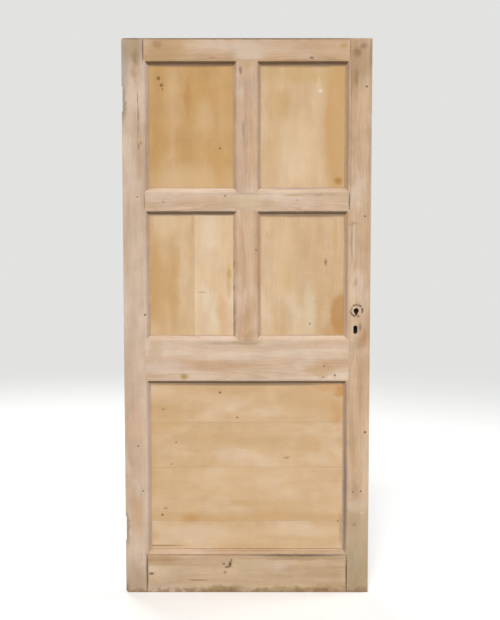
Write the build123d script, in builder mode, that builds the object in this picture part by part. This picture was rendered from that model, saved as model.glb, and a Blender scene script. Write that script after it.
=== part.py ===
from build123d import *
from dataclasses import dataclass
from math import cos, radians, sin
import os

# A stripped pine door leaf: two stiles, four rails and two muntins, moulded on the solid,
# mortised, tenoned and wedged round five flat panels, with a mortice lock in the lock stile.
# X runs from the hinge edge to the lock edge, Y through the thickness, Z up, in millimetres.
# The origin is the middle of the bottom edge, and the face that is seen looks along -Y.

# Leaf
leaf_width = 890.0
leaf_height = 2010.0
leaf_thickness = 38.0
arris = 1.5                      # rounding of the leaf's outer edges
worn_corners = {"hinge_bottom": 13.0, "hinge_top": 8.0, "lock_bottom": 5.0, "lock_top": 3.0}

# Flat faces of the framing, between the mouldings
stile_face = 76.0
top_rail_face = 75.0
cross_rail_face = 59.0
lock_rail_face = 135.0
bottom_rail_face = 142.0
muntin_face = 60.0
cross_rail_low = 1405.0          # low edge of the face above the bottom of the leaf
lock_rail_low = 798.0
shoulder_ease = 0.8              # worn edge where a shoulder meets the next timber

# Lamb's tongue moulding, stuck on the framing along every panel
moulding_width = 19.0
quirk_depth = 1.5                # step down from the flat face
nose_radius = 4.0
nose_turn = 53.0                 # degrees through which the nose turns downhill
foot_step = 1.5                  # the moulding's foot above the panel

# Panels and their grooves
panel_thickness = 12.0
groove_depth = 10.0
panel_gap = 2.0                  # left at the bottom of the groove for the panel to swell
board_ease = 0.8
middle_board_joint = 256.0       # from the hinge edge
lower_board_joints = (266.0, 465.0, 632.0)

# Joints of the framing
tenon_thickness = 12.0
haunch_depth = 10.0
wedge_length = 50.0
wedge_butt = 5.0
wedge_tip = 1.0
stub_length = 25.0               # muntin tenons
stub_width = 40.0
tenon_margin = 3.0               # from a tenon to the edge of its rail's face
top_haunch = 25.0
bottom_haunch = 48.0
lock_tenon_height = 45.0         # each of the lock rail's pair
lock_tenon_margin = 8.0
bottom_tenon_margin = 10.0

# Hinge recesses in the hinge edge, open to the front face
hinge_height = 90.0
hinge_width = 28.0
hinge_depth = 3.0
upper_hinge_drop = 167.0         # from the top of the leaf to the top of the recess
lower_hinge_rise = 196.0         # from the bottom of the leaf to the bottom of the recess
hinge_screw_radius = 2.0
hinge_screw_depth = 25.0
hinge_screw_spacing = 32.0
hinge_screw_inset = 15.0         # from the front face
hinge_screw_count = 3

# Drying split in the bottom rail's front, along the quirk under the lower panel
split_start = 10.0
split_end = 345.0
split_width = 1.6
split_depth = 7.0

# Holes bored through the lock stile for the handle's spindle and the key
spindle_backset = 50.5
spindle_height = 1042.0
spindle_hole_radius = 9.3
spindle_hole_tail = 13.5         # the worn lower end of the hole, below the spindle
spindle_hole_tail_radius = 3.5
key_backset = 53.0
key_height = 981.0               # axis of the key
keyhole_width = 15.0
keyhole_length = 31.0

# Mortice lock
case_depth = 70.0                # behind the forend
case_thickness = 14.0
case_wall = 1.6
case_above_spindle = 36.0
case_below_key = 30.0
cap_thickness = 1.6
mortise_clearance = 0.2
slide_clearance = 0.3
forend_width = 22.0
forend_height = 160.0
forend_thickness = 3.0
forend_screw_spacing = 140.0
screw_clearance = 0.1
bolt_side_clearance = 0.6        # latch and dead bolt to the case's floor and the cap

# Follower and latch
hub_radius = 9.5
journal_radius = 7.5
journal_clearance = 0.05
spindle_square = 8.2
horn_length = 21.0
horn_width = 6.0
latch_rise = 20.0                # middle of the latch above the spindle
latch_height = 22.0
latch_reach = 11.0               # how far the latch comes out of the edge, and so its travel
drawn_turn = 30.0                # of the follower, where it holds the latch drawn in
latch_inside = 12.0              # length of the head behind the edge
latch_bevel_flat = 2.0
stem_radius = 3.0
tail_drop = 7.0                  # the tail's hook, below the middle of the latch
tail_rise = 7.0
tail_web = 4.8
hook_length = 6.0
tail_block = 4.0                 # solid part of the tail, between its notch and the guide
slam_slack = 1.0                 # room past the horn when the latch is pushed in by itself
guide_thickness = 3.0
spring_wire = 1.0
spring_turns = 3
spring_side_clearance = 0.5      # to the case's floor and the cap
spring_end_gap = 0.2

# Dead bolt
bolt_rise = 12.0                 # low edge above the key's axis
bolt_height = 20.0
bolt_throw = 13.0
bolt_head_length = 26.0
bolt_tail_thickness = 4.0
bolt_tail_gap = 1.4              # to the back wall of the case when drawn in
stump_radius = 2.7
stump_backset = 36.0
stump_rise = 13.3                # above the dead bolt's low edge
talon_width = 12.0
talon_depth = 5.0
key_stem_radius = 4.0
key_bit_width = 4.6
key_bit_reach = 15.0
bow_spring_thickness = 0.8
bow_spring_width = 8.0
bow_spring_rise = 7.5
bow_spring_ends = (29.0, 67.0)   # backsets of the bow spring's two ends
post_radius = 2.2

# Screws
cap_screw_head = 2.6
cap_screw_shank = 1.3
cap_screw_length = 9.0
pillar_radius = 3.5
upper_pillar = (14.0, 12.0)      # backset, and drop below the spindle
lower_pillars = ((16.0, 19.0), (66.0, 21.0))     # backset, and drop below the key's axis
forend_screw_head = 4.2
forend_screw_shank = 2.2
forend_screw_length = 22.0
screw_slot = 0.9

# Worked-out places
hinge_edge = -leaf_width / 2
lock_edge = leaf_width / 2
hinge_shoulder = hinge_edge + stile_face
lock_shoulder = lock_edge - stile_face
top_rail_low = leaf_height - top_rail_face
cross_rail_top = cross_rail_low + cross_rail_face
lock_rail_top = lock_rail_low + lock_rail_face
half_muntin = muntin_face / 2
groove_line = moulding_width - groove_depth

spindle_x = lock_edge - spindle_backset
key_x = lock_edge - key_backset
case_front = lock_edge - forend_thickness
case_back = case_front - case_depth
case_top = spindle_height + case_above_spindle
case_bottom = key_height - case_below_key
lock_middle = (case_top + case_bottom) / 2
latch_z = spindle_height + latch_rise
bolt_low = key_height + bolt_rise
bolt_top = bolt_low + bolt_height
stump_z = bolt_low + stump_rise
case_inner_depth = case_thickness - case_wall - cap_thickness
bolt_thickness = case_inner_depth - 2 * bolt_side_clearance
spring_radius = (case_inner_depth - spring_wire) / 2 - spring_side_clearance


@dataclass(frozen=True)
class Opening:
    """A panel's opening, by its edges on the flat faces of the timbers round it."""
    left: float
    bottom: float
    right: float
    top: float

    def corners(self, inset):
        """Corners from the bottom left, anticlockwise as seen from the front."""
        left, right = self.left + inset, self.right - inset
        bottom, top = self.bottom + inset, self.top - inset
        return [(left, bottom), (right, bottom), (right, top), (left, top)]


@dataclass(frozen=True)
class Tenons:
    """A rail's through tenons as (low edge, height), and its haunch as (low edge, height)."""
    through: tuple
    haunch: tuple = ()


# Sides of an opening, in the order of its corners
BOTTOM, RIGHT, TOP, LEFT = range(4)

upper_left = Opening(hinge_shoulder, cross_rail_top, -half_muntin, top_rail_low)
upper_right = Opening(half_muntin, cross_rail_top, lock_shoulder, top_rail_low)
middle_left = Opening(hinge_shoulder, lock_rail_top, -half_muntin, cross_rail_low)
middle_right = Opening(half_muntin, lock_rail_top, lock_shoulder, cross_rail_low)
lower = Opening(hinge_shoulder, bottom_rail_face, lock_shoulder, lock_rail_low)

top_tenon = (top_rail_low + tenon_margin, top_rail_face - tenon_margin - top_haunch)
cross_tenon = (cross_rail_low + tenon_margin, cross_rail_face - 2 * tenon_margin)
lock_tenons = (
    (lock_rail_low + lock_tenon_margin, lock_tenon_height),
    (lock_rail_top - lock_tenon_margin - lock_tenon_height, lock_tenon_height),
)
bottom_tenon = (bottom_haunch, bottom_rail_face - bottom_haunch - bottom_tenon_margin)

top_joint = Tenons((top_tenon,), (leaf_height - top_haunch, top_haunch))
cross_joint = Tenons((cross_tenon,))
lock_joint = Tenons(lock_tenons)
bottom_joint = Tenons((bottom_tenon,), (0.0, bottom_haunch))
joints = (top_joint, cross_joint, lock_joint, bottom_joint)


def bar(left, bottom, right, top, thickness, mode=Mode.ADD):
    """A rectangle on the leaf's middle plane, made thick to both sides, in the current part."""
    with BuildSketch(Plane.XZ) as outline:
        with Locations(((left + right) / 2, (bottom + top) / 2)):
            Rectangle(right - left, top - bottom)
    extrude(outline.sketch, amount=thickness / 2, both=True, mode=mode)


def stuck_moulding(opening, side):
    """The moulded and grooved strip of timber along one side of an opening, mitred at its ends."""
    outer = opening.corners(0)
    inner = opening.corners(moulding_width)
    after = (side + 1) % 4
    start, end = Vector(*outer[side]), Vector(*outer[after])
    middle = (start + end) * 0.5
    along = (end - start).normalized()
    section_plane = Plane((middle.X, 0, middle.Y), x_dir=(-along.Y, 0, along.X), z_dir=(along.X, 0, along.Y))
    with BuildPart() as strip:
        with BuildSketch(section_plane):
            with BuildLine():
                edge = Line((0, 0), (0, leaf_thickness / 2 - quirk_depth))
                nose = JernArc(edge @ 1, tangent=(1, 0), radius=nose_radius, arc_size=-nose_turn)
                foot = (moulding_width, panel_thickness / 2 + foot_step)
                TangentArc(nose @ 1, foot, tangent=nose % 1)
                groove_side = (groove_line, panel_thickness / 2)
                Polyline(foot, (moulding_width, panel_thickness / 2), groove_side, (groove_line, 0), (0, 0))
            make_face()
            mirror(about=Plane.XZ)
        extrude(amount=(end - start).length / 2, both=True)
        with BuildSketch(Plane.XZ):
            Polygon(outer[side], outer[after], inner[after], inner[side], align=None)
        extrude(amount=leaf_thickness / 2, both=True, mode=Mode.INTERSECT)
    return strip.part


def draw_wedges(edge, inward):
    """Outlines of the wedges above and below each through tenon, driven in from one edge."""
    tip = edge + inward * wedge_length
    for joint in joints:
        for low, height in joint.through:
            for seat, away in ((low, -1), (low + height, 1)):
                Polygon((edge, seat), (tip, seat), (tip, seat + away * wedge_tip),
                        (edge, seat + away * wedge_butt), align=None)


def cut_joints(edge, inward):
    """Mortises, haunch seats and wedge flares in the stile that starts at this edge."""
    shoulder = edge + inward * stile_face
    haunch_end = shoulder - inward * haunch_depth
    for joint in joints:
        for low, height in joint.through:
            bar(min(edge, shoulder), low, max(edge, shoulder), low + height, tenon_thickness, Mode.SUBTRACT)
        if joint.haunch:
            low, height = joint.haunch
            left, right = sorted((haunch_end, shoulder))
            bar(left, low, right, low + height, tenon_thickness, Mode.SUBTRACT)
    with BuildSketch(Plane.XZ) as flares:
        draw_wedges(edge, inward)
    extrude(flares.sketch, amount=tenon_thickness / 2, both=True, mode=Mode.SUBTRACT)


def add_tenons(joint):
    """A rail's tenons, from edge to edge of the leaf, and its haunches."""
    for low, height in joint.through:
        bar(hinge_edge, low, lock_edge, low + height, tenon_thickness)
    if joint.haunch:
        low, height = joint.haunch
        bar(hinge_shoulder - haunch_depth, low, lock_shoulder + haunch_depth, low + height, tenon_thickness)


def cut_stub_mortise(face_line, inward):
    """The mortise for a muntin's stub tenon, from a rail's face line into the rail."""
    low, high = sorted((face_line, face_line + inward * stub_length))
    bar(-stub_width / 2, low, stub_width / 2, high, tenon_thickness, Mode.SUBTRACT)


def draw_keyhole():
    """The lock's own keyhole: the key's stem with its bit hanging down."""
    with Locations((key_x, key_height)):
        Circle(key_stem_radius)
        Rectangle(key_bit_width, key_bit_reach, align=(Align.CENTER, Align.MAX))


def draw_spindle_hole():
    """The hole bored in the stile for the spindle, worn into an egg shape."""
    with Locations((spindle_x, spindle_height)):
        Circle(spindle_hole_radius)
    with Locations((spindle_x, spindle_height - spindle_hole_tail)):
        Circle(spindle_hole_tail_radius)
    make_hull()


def countersunk_screw(head_radius, shank_radius, length):
    """A slotted countersunk screw at each current location, its head flush and facing out."""
    head_depth = head_radius - shank_radius
    top = (Align.CENTER, Align.CENTER, Align.MAX)
    Cone(shank_radius, head_radius, head_depth, align=top)
    Cylinder(shank_radius, length, align=top)
    Box(2 * head_radius, screw_slot, head_depth / 2, align=top, mode=Mode.SUBTRACT)


# Hinge stile
with BuildPart() as hinge_stile:
    bar(hinge_edge, 0, hinge_shoulder, leaf_height, leaf_thickness)
    outer_corners = hinge_stile.edges().filter_by(Axis.Y).group_by(Axis.X)[0].sort_by(Axis.Z)
    fillet(outer_corners[0], worn_corners["hinge_bottom"])
    fillet(outer_corners[-1], worn_corners["hinge_top"])
    rim = hinge_stile.faces().filter_by(Axis.Y).edges()
    fillet(rim - rim.filter_by(Axis.Z).group_by(Axis.X)[-1], arris)
    add([stuck_moulding(opening, LEFT) for opening in (upper_left, middle_left, lower)])
    cut_joints(hinge_edge, 1)
    hinge_lows = (lower_hinge_rise, leaf_height - upper_hinge_drop - hinge_height)
    hinge_y = -leaf_thickness / 2 + hinge_screw_inset
    for recess_low in hinge_lows:
        with Locations((hinge_edge, -leaf_thickness / 2, recess_low)):
            Box(hinge_depth, hinge_width, hinge_height, align=Align.MIN, mode=Mode.SUBTRACT)
        with Locations(Plane((hinge_edge + hinge_depth, hinge_y, recess_low + hinge_height / 2),
                             x_dir=(0, 1, 0), z_dir=(-1, 0, 0))):
            with GridLocations(0, hinge_screw_spacing, 1, hinge_screw_count):
                Hole(hinge_screw_radius, depth=hinge_screw_depth)

# Lock stile
with BuildPart() as lock_stile:
    bar(lock_shoulder, 0, lock_edge, leaf_height, leaf_thickness)
    outer_corners = lock_stile.edges().filter_by(Axis.Y).group_by(Axis.X)[-1].sort_by(Axis.Z)
    fillet(outer_corners[0], worn_corners["lock_bottom"])
    fillet(outer_corners[-1], worn_corners["lock_top"])
    rim = lock_stile.faces().filter_by(Axis.Y).edges()
    fillet(rim - rim.filter_by(Axis.Z).group_by(Axis.X)[0], arris)
    add([stuck_moulding(opening, RIGHT) for opening in (upper_right, middle_right, lower)])
    cut_joints(lock_edge, -1)
    # Mortise for the case, and the forend's seat in the edge
    bar(case_back - mortise_clearance, case_bottom - mortise_clearance, lock_edge,
        case_top + mortise_clearance, case_thickness + 2 * mortise_clearance, Mode.SUBTRACT)
    bar(case_front, lock_middle - forend_height / 2, lock_edge, lock_middle + forend_height / 2,
        forend_width, Mode.SUBTRACT)
    with Locations(Plane.YZ.offset(lock_edge)):
        with Locations((0, lock_middle)):
            with GridLocations(0, forend_screw_spacing, 1, 2):
                Hole(forend_screw_shank + screw_clearance, depth=forend_screw_length)
    with BuildSketch(Plane.XZ):
        draw_spindle_hole()
        with Locations((key_x, key_height + keyhole_width / 2 - keyhole_length / 2)):
            SlotOverall(keyhole_length, keyhole_width, rotation=90)
    extrude(amount=leaf_thickness / 2, both=True, mode=Mode.SUBTRACT)

# Rails
with BuildPart() as top_rail:
    bar(hinge_shoulder, top_rail_low, lock_shoulder, leaf_height, leaf_thickness)
    chamfer(top_rail.edges().filter_by(Axis.Z), shoulder_ease)
    fillet(top_rail.edges().filter_by(Axis.X).group_by(Axis.Z)[-1], arris)
    add([stuck_moulding(opening, TOP) for opening in (upper_left, upper_right)])
    add_tenons(top_joint)
    cut_stub_mortise(top_rail_low, 1)

with BuildPart() as cross_rail:
    bar(hinge_shoulder, cross_rail_low, lock_shoulder, cross_rail_top, leaf_thickness)
    chamfer(cross_rail.edges().filter_by(Axis.Z), shoulder_ease)
    add([stuck_moulding(opening, BOTTOM) for opening in (upper_left, upper_right)])
    add([stuck_moulding(opening, TOP) for opening in (middle_left, middle_right)])
    add_tenons(cross_joint)
    cut_stub_mortise(cross_rail_top, -1)
    cut_stub_mortise(cross_rail_low, 1)

with BuildPart() as lock_rail:
    bar(hinge_shoulder, lock_rail_low, lock_shoulder, lock_rail_top, leaf_thickness)
    chamfer(lock_rail.edges().filter_by(Axis.Z), shoulder_ease)
    add([stuck_moulding(opening, BOTTOM) for opening in (middle_left, middle_right)])
    add(stuck_moulding(lower, TOP))
    add_tenons(lock_joint)
    cut_stub_mortise(lock_rail_top, -1)

with BuildPart() as bottom_rail:
    bar(hinge_shoulder, 0, lock_shoulder, bottom_rail_face, leaf_thickness)
    chamfer(bottom_rail.edges().filter_by(Axis.Z), shoulder_ease)
    fillet(bottom_rail.edges().filter_by(Axis.X).group_by(Axis.Z)[0], arris)
    add(stuck_moulding(lower, BOTTOM))
    with Locations((split_start, -leaf_thickness / 2, bottom_rail_face - split_width)):
        Box(split_end - split_start, split_depth, split_width, align=Align.MIN, mode=Mode.SUBTRACT)
    add_tenons(bottom_joint)

# Muntins
with BuildPart() as upper_muntin:
    bar(-half_muntin, cross_rail_top, half_muntin, top_rail_low, leaf_thickness)
    chamfer(upper_muntin.edges().filter_by(Axis.X), shoulder_ease)
    add([stuck_moulding(upper_left, RIGHT), stuck_moulding(upper_right, LEFT)])
    bar(-stub_width / 2, cross_rail_top - stub_length, stub_width / 2, top_rail_low + stub_length,
        tenon_thickness)

with BuildPart() as middle_muntin:
    bar(-half_muntin, lock_rail_top, half_muntin, cross_rail_low, leaf_thickness)
    chamfer(middle_muntin.edges().filter_by(Axis.X), shoulder_ease)
    add([stuck_moulding(middle_left, RIGHT), stuck_moulding(middle_right, LEFT)])
    bar(-stub_width / 2, lock_rail_top - stub_length, stub_width / 2, cross_rail_low + stub_length,
        tenon_thickness)

# Panels, each set into the grooves round its opening
panel_inset = groove_line + panel_gap
panels = {}
whole_panels = {"upper_left_panel": upper_left, "upper_right_panel": upper_right,
                "middle_right_panel": middle_right}
for name, opening in whole_panels.items():
    (left, bottom), _, (right, top), _ = opening.corners(panel_inset)
    with BuildPart() as panels[name]:
        bar(left, bottom, right, top, panel_thickness)

(left, bottom), _, (right, top), _ = middle_left.corners(panel_inset)
board_line = hinge_edge + middle_board_joint
with BuildPart() as middle_left_outer_board:
    bar(left, bottom, board_line, top, panel_thickness)
    chamfer(middle_left_outer_board.edges().filter_by(Axis.Z).group_by(Axis.X)[-1], board_ease)

with BuildPart() as middle_left_inner_board:
    bar(board_line, bottom, right, top, panel_thickness)
    chamfer(middle_left_inner_board.edges().filter_by(Axis.Z).group_by(Axis.X)[0], board_ease)

(left, bottom), _, (right, top), _ = lower.corners(panel_inset)
board_edges = (bottom, *lower_board_joints, top)
for number, (low, high) in enumerate(zip(board_edges, board_edges[1:]), start=1):
    with BuildPart() as panels[f"lower_panel_board_{number}"]:
        bar(left, low, right, high, panel_thickness)
        level_edges = panels[f"lower_panel_board_{number}"].edges().filter_by(Axis.X).group_by(Axis.Z)
        if low != bottom:
            chamfer(level_edges[0], board_ease)
        if high != top:
            chamfer(level_edges[-1], board_ease)

# Wedges
with BuildPart() as hinge_stile_wedges:
    with BuildSketch(Plane.XZ):
        draw_wedges(hinge_edge, 1)
    extrude(amount=tenon_thickness / 2, both=True)

with BuildPart() as lock_stile_wedges:
    with BuildSketch(Plane.XZ):
        draw_wedges(lock_edge, -1)
    extrude(amount=tenon_thickness / 2, both=True)

# Lock: the case is an open tray with its floor to the front, and the cap closes its back
case_outer_floor = Plane.XZ.offset(case_thickness / 2)
case_inner_floor = Plane.XZ.offset(case_thickness / 2 - case_wall)
cap_face = Plane((0, case_thickness / 2, 0), x_dir=(1, 0, 0), z_dir=(0, 1, 0))
pillars = [(lock_edge - upper_pillar[0], spindle_height - upper_pillar[1])]
pillars += [(lock_edge - backset, key_height - drop) for backset, drop in lower_pillars]

block_back = spindle_x + horn_width / 2 + latch_reach + slam_slack
block_front = block_back + tail_block
guide_back = block_front + slide_clearance
guide_front = guide_back + guide_thickness
mouth_thickness = bolt_thickness + 2 * slide_clearance


def cut_mouths():
    """The openings that the latch and the dead bolt slide through, in the case and the forend."""
    inside = case_front - 2 * case_wall
    bar(inside, latch_z - latch_height / 2 - slide_clearance, lock_edge,
        latch_z + latch_height / 2 + slide_clearance, mouth_thickness, Mode.SUBTRACT)
    bar(inside, bolt_low - slide_clearance, lock_edge, bolt_top + slide_clearance,
        mouth_thickness, Mode.SUBTRACT)


with BuildPart() as lock_case:
    with BuildSketch(case_outer_floor):
        with Locations(((case_back + case_front) / 2, lock_middle)):
            Rectangle(case_depth, case_top - case_bottom)
    extrude(amount=cap_thickness - case_thickness)
    offset(amount=-case_wall, openings=lock_case.faces().sort_by(Axis.Y)[-1])
    # Guide for the latch's stem, stump for the dead bolt, posts for the bow spring, cap pillars
    with BuildSketch(case_inner_floor):
        with Locations(((guide_back + guide_front) / 2, case_top - case_wall)):
            guide_height = case_top - case_wall - latch_z + latch_height / 2
            Rectangle(guide_thickness, guide_height, align=(Align.CENTER, Align.MAX))
        with Locations((lock_edge - stump_backset, stump_z)):
            Circle(stump_radius)
        post_z = bolt_top + slide_clearance + bow_spring_rise + bow_spring_thickness + post_radius
        with Locations(*[(lock_edge - backset, post_z) for backset in bow_spring_ends]):
            Circle(post_radius)
        with Locations(*pillars):
            Circle(pillar_radius)
    extrude(amount=-case_inner_depth)
    with Locations((guide_back, -stem_radius - slide_clearance, latch_z - stem_radius - slide_clearance)):
        Box(guide_thickness, case_thickness, 2 * (stem_radius + slide_clearance), align=Align.MIN,
            mode=Mode.SUBTRACT)
    with BuildSketch(case_outer_floor):
        with Locations((spindle_x, spindle_height)):
            Circle(journal_radius + journal_clearance)
        draw_keyhole()
    extrude(amount=-case_wall, mode=Mode.SUBTRACT)
    with Locations(cap_face):
        with Locations(*[(x, -z) for x, z in pillars]):
            Hole(cap_screw_shank + screw_clearance, depth=cap_screw_length + screw_clearance)
    cut_mouths()

with BuildPart() as lock_cap:
    with BuildSketch(Plane.XZ.offset(-case_thickness / 2)):
        with Locations(((case_back + case_front) / 2, lock_middle)):
            Rectangle(case_depth, case_top - case_bottom)
        with Locations((spindle_x, spindle_height)):
            Circle(journal_radius + journal_clearance, mode=Mode.SUBTRACT)
    extrude(amount=cap_thickness)
    with BuildSketch(Plane.XZ.offset(-case_thickness / 2)):
        draw_keyhole()
    extrude(amount=cap_thickness, mode=Mode.SUBTRACT)
    with Locations(cap_face):
        with Locations(*[(x, -z) for x, z in pillars]):
            CounterSinkHole(cap_screw_shank + screw_clearance, cap_screw_head + screw_clearance)

with BuildPart() as cap_screws:
    with Locations(cap_face):
        with Locations(*[(x, -z) for x, z in pillars]):
            countersunk_screw(cap_screw_head, cap_screw_shank, cap_screw_length)

with BuildPart() as lock_forend:
    with BuildSketch(Plane.YZ.offset(lock_edge)):
        with Locations((0, lock_middle)):
            Rectangle(forend_width, forend_height)
    extrude(amount=-forend_thickness)
    cut_mouths()
    with Locations(Plane.YZ.offset(lock_edge)):
        with Locations((0, lock_middle)):
            with GridLocations(0, forend_screw_spacing, 1, 2):
                CounterSinkHole(forend_screw_shank + screw_clearance, forend_screw_head + screw_clearance)

with BuildPart() as forend_screws:
    with Locations(Plane.YZ.offset(lock_edge)):
        with Locations((0, lock_middle)):
            with GridLocations(0, forend_screw_spacing, 1, 2):
                countersunk_screw(forend_screw_head, forend_screw_shank, forend_screw_length)

# Follower: a hub on two journals, square for the spindle, with a horn up into the latch's tail.
# It stands turned, as it does while the latch is drawn in.
turn = radians(drawn_turn)
follower_plane = Plane((spindle_x, 0, spindle_height), x_dir=(cos(turn), 0, sin(turn)), z_dir=(0, -1, 0))
with BuildPart() as lock_follower:
    with BuildSketch(follower_plane):
        Circle(hub_radius)
    extrude(amount=case_inner_depth / 2 - slide_clearance, both=True)
    with BuildSketch(follower_plane):
        Circle(journal_radius)
    extrude(amount=case_thickness / 2, both=True)
    with BuildSketch(follower_plane):
        horn_tip = horn_length - horn_width / 2
        SlotCenterPoint((0, horn_tip / 2), (0, horn_tip), horn_width)
    extrude(amount=horn_width / 2, both=True)
    with BuildSketch(follower_plane):
        Rectangle(spindle_square, spindle_square)
    extrude(amount=case_thickness / 2, both=True, mode=Mode.SUBTRACT)

# Latch, drawn in: bevelled head flush with the edge, round stem through the spring and the guide,
# and a hooked tail over the horn
head_back = lock_edge - latch_inside - latch_reach
tail_front = block_front - latch_reach
hook_front = spindle_x - horn_width / 2 - slide_clearance - latch_reach
with BuildPart() as latch_bolt:
    bar(head_back, latch_z - latch_height / 2, lock_edge, latch_z + latch_height / 2, bolt_thickness)
    with BuildSketch(Plane.XY.offset(latch_z - latch_height / 2)):
        with BuildLine():
            nose = (lock_edge, latch_bevel_flat - bolt_thickness / 2)
            back = (lock_edge - latch_reach, bolt_thickness / 2)
            Polyline(nose, (nose[0], bolt_thickness / 2), back, close=True)
        make_face()
    extrude(amount=latch_height, mode=Mode.SUBTRACT)
    with BuildSketch(Plane.YZ.offset(tail_front)):
        with Locations((0, latch_z)):
            Circle(stem_radius)
    extrude(amount=head_back - tail_front)
    bar(tail_front - tail_block, latch_z - tail_drop, tail_front, latch_z + tail_rise, bolt_thickness)
    bar(hook_front - hook_length, latch_z + tail_rise - tail_web, tail_front, latch_z + tail_rise,
        bolt_thickness)
    bar(hook_front - hook_length, latch_z - tail_drop, hook_front, latch_z + tail_rise, bolt_thickness)

spring_length = head_back - guide_front - 2 * spring_end_gap - spring_wire
with BuildPart() as latch_spring:
    with BuildLine():
        coil = Helix(spring_length / spring_turns, spring_length, spring_radius,
                     center=(guide_front + spring_end_gap + spring_wire / 2, 0, latch_z), direction=(1, 0, 0))
    with BuildSketch(Plane(coil @ 0, z_dir=coil % 0)):
        Circle(spring_wire / 2)
    sweep(is_frenet=True)

# Dead bolt, drawn in: head in the mouth, tail slotted over the stump, talon for the key's bit
bolt_end = lock_edge - slide_clearance
bolt_tail_end = case_back + case_wall + bolt_tail_gap
with BuildPart() as dead_bolt:
    bar(bolt_end - bolt_head_length, bolt_low, bolt_end, bolt_top, bolt_thickness)
    bar(bolt_tail_end, bolt_low, bolt_end - bolt_head_length, bolt_top, bolt_tail_thickness)
    with BuildSketch(Plane.XZ):
        with Locations((lock_edge - stump_backset - bolt_throw / 2, stump_z)):
            SlotCenterToCenter(bolt_throw, 2 * (stump_radius + slide_clearance))
        with Locations((key_x - bolt_throw / 2, bolt_low)):
            Rectangle(talon_width, 2 * talon_depth)
    extrude(amount=bolt_thickness / 2, both=True, mode=Mode.SUBTRACT)

# Bow spring that bears on the dead bolt's top edge, under its two posts
with BuildPart() as bolt_spring:
    with BuildSketch(Plane.XZ):
        with BuildLine():
            front, back = (lock_edge - backset for backset in bow_spring_ends)
            low = bolt_top + slide_clearance + bow_spring_thickness / 2
            high = low + bow_spring_rise - slide_clearance
            ThreePointArc((back, high), ((back + front) / 2, low), (front, high))
        trace(line_width=bow_spring_thickness)
    extrude(amount=bow_spring_width / 2, both=True)

pieces = {
    "hinge_stile": hinge_stile,
    "lock_stile": lock_stile,
    "top_rail": top_rail,
    "cross_rail": cross_rail,
    "lock_rail": lock_rail,
    "bottom_rail": bottom_rail,
    "upper_muntin": upper_muntin,
    "middle_muntin": middle_muntin,
    "middle_left_outer_board": middle_left_outer_board,
    "middle_left_inner_board": middle_left_inner_board,
    **panels,
    "hinge_stile_wedges": hinge_stile_wedges,
    "lock_stile_wedges": lock_stile_wedges,
    "lock_case": lock_case,
    "lock_cap": lock_cap,
    "cap_screws": cap_screws,
    "lock_forend": lock_forend,
    "forend_screws": forend_screws,
    "lock_follower": lock_follower,
    "latch_bolt": latch_bolt,
    "latch_spring": latch_spring,
    "dead_bolt": dead_bolt,
    "bolt_spring": bolt_spring,
}

os.makedirs("parts", exist_ok=True)
for name, piece in pieces.items():
    piece.part.label = name
    export_step(piece.part, f"parts/{name}.step")
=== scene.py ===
"""A stripped pine door leaf with five panels, and the mortice lock inside its lock stile.

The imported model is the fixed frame. Every timber is a worn, finely cut copy of its frame piece, in old
stripped pine whose rings, knots and stains are worked out in the timber's own millimetres.
"""
import logging
import math
from dataclasses import dataclass, field
from enum import Enum

import bmesh
import bpy
from mathutils import Euler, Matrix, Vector


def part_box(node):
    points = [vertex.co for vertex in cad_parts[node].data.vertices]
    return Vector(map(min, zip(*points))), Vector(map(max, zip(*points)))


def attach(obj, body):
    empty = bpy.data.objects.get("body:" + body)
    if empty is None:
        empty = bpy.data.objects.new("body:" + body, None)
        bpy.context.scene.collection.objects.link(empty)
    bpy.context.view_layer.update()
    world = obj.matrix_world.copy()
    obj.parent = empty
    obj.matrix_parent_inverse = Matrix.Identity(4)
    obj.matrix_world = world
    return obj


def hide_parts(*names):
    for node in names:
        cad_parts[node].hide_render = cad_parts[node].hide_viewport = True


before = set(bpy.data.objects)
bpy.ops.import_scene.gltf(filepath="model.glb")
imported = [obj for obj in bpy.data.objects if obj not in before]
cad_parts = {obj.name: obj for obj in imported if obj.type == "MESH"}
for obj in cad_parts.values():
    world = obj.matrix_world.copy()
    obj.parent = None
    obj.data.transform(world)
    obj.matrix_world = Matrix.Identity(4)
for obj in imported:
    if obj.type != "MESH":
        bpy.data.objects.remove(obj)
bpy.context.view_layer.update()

MM = 0.001
WELD = 0.002 * MM                    # corners closer than this are one corner
CUT_WELD = 0.01 * MM                 # a cut this close to a corner goes through it
CUT_MARGIN = 0.1 * MM                # a cut this close to the timber's end is left out
FLAT = 0.5                           # degrees by which two faces may differ and still be one
log = logging.getLogger("door")


def linear(hex_colour: str) -> tuple[float, float, float, float]:
    """Turns an sRGB hex colour to linear light.

    Args:
        hex_colour: six hex digits, with or without a leading #.

    Returns:
        Red, green, blue and a full alpha.
    """
    digits = hex_colour.lstrip("#")
    channels = [int(digits[i:i + 2], 16) / 255 for i in (0, 2, 4)]
    curve = [c / 12.92 if c <= 0.04045 else ((c + 0.055) / 1.055) ** 2.4 for c in channels]
    return (*curve, 1.0)


def add_node(tree: bpy.types.NodeTree, kind: str, inputs: dict | None = None, **settings) -> bpy.types.Node:
    """Adds a node to a tree, with its settings and its inputs.

    Args:
        tree: the shader or geometry tree.
        kind: the node's type name.
        inputs: values or output sockets, by input name or number.
        **settings: the node's own properties.

    Returns:
        The new node.
    """
    node = tree.nodes.new(kind)
    for name, value in settings.items():
        setattr(node, name, value)
    for key, value in (inputs or {}).items():
        if isinstance(value, bpy.types.NodeSocket):
            tree.links.new(value, node.inputs[key])
        else:
            node.inputs[key].default_value = value
    return node


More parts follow.
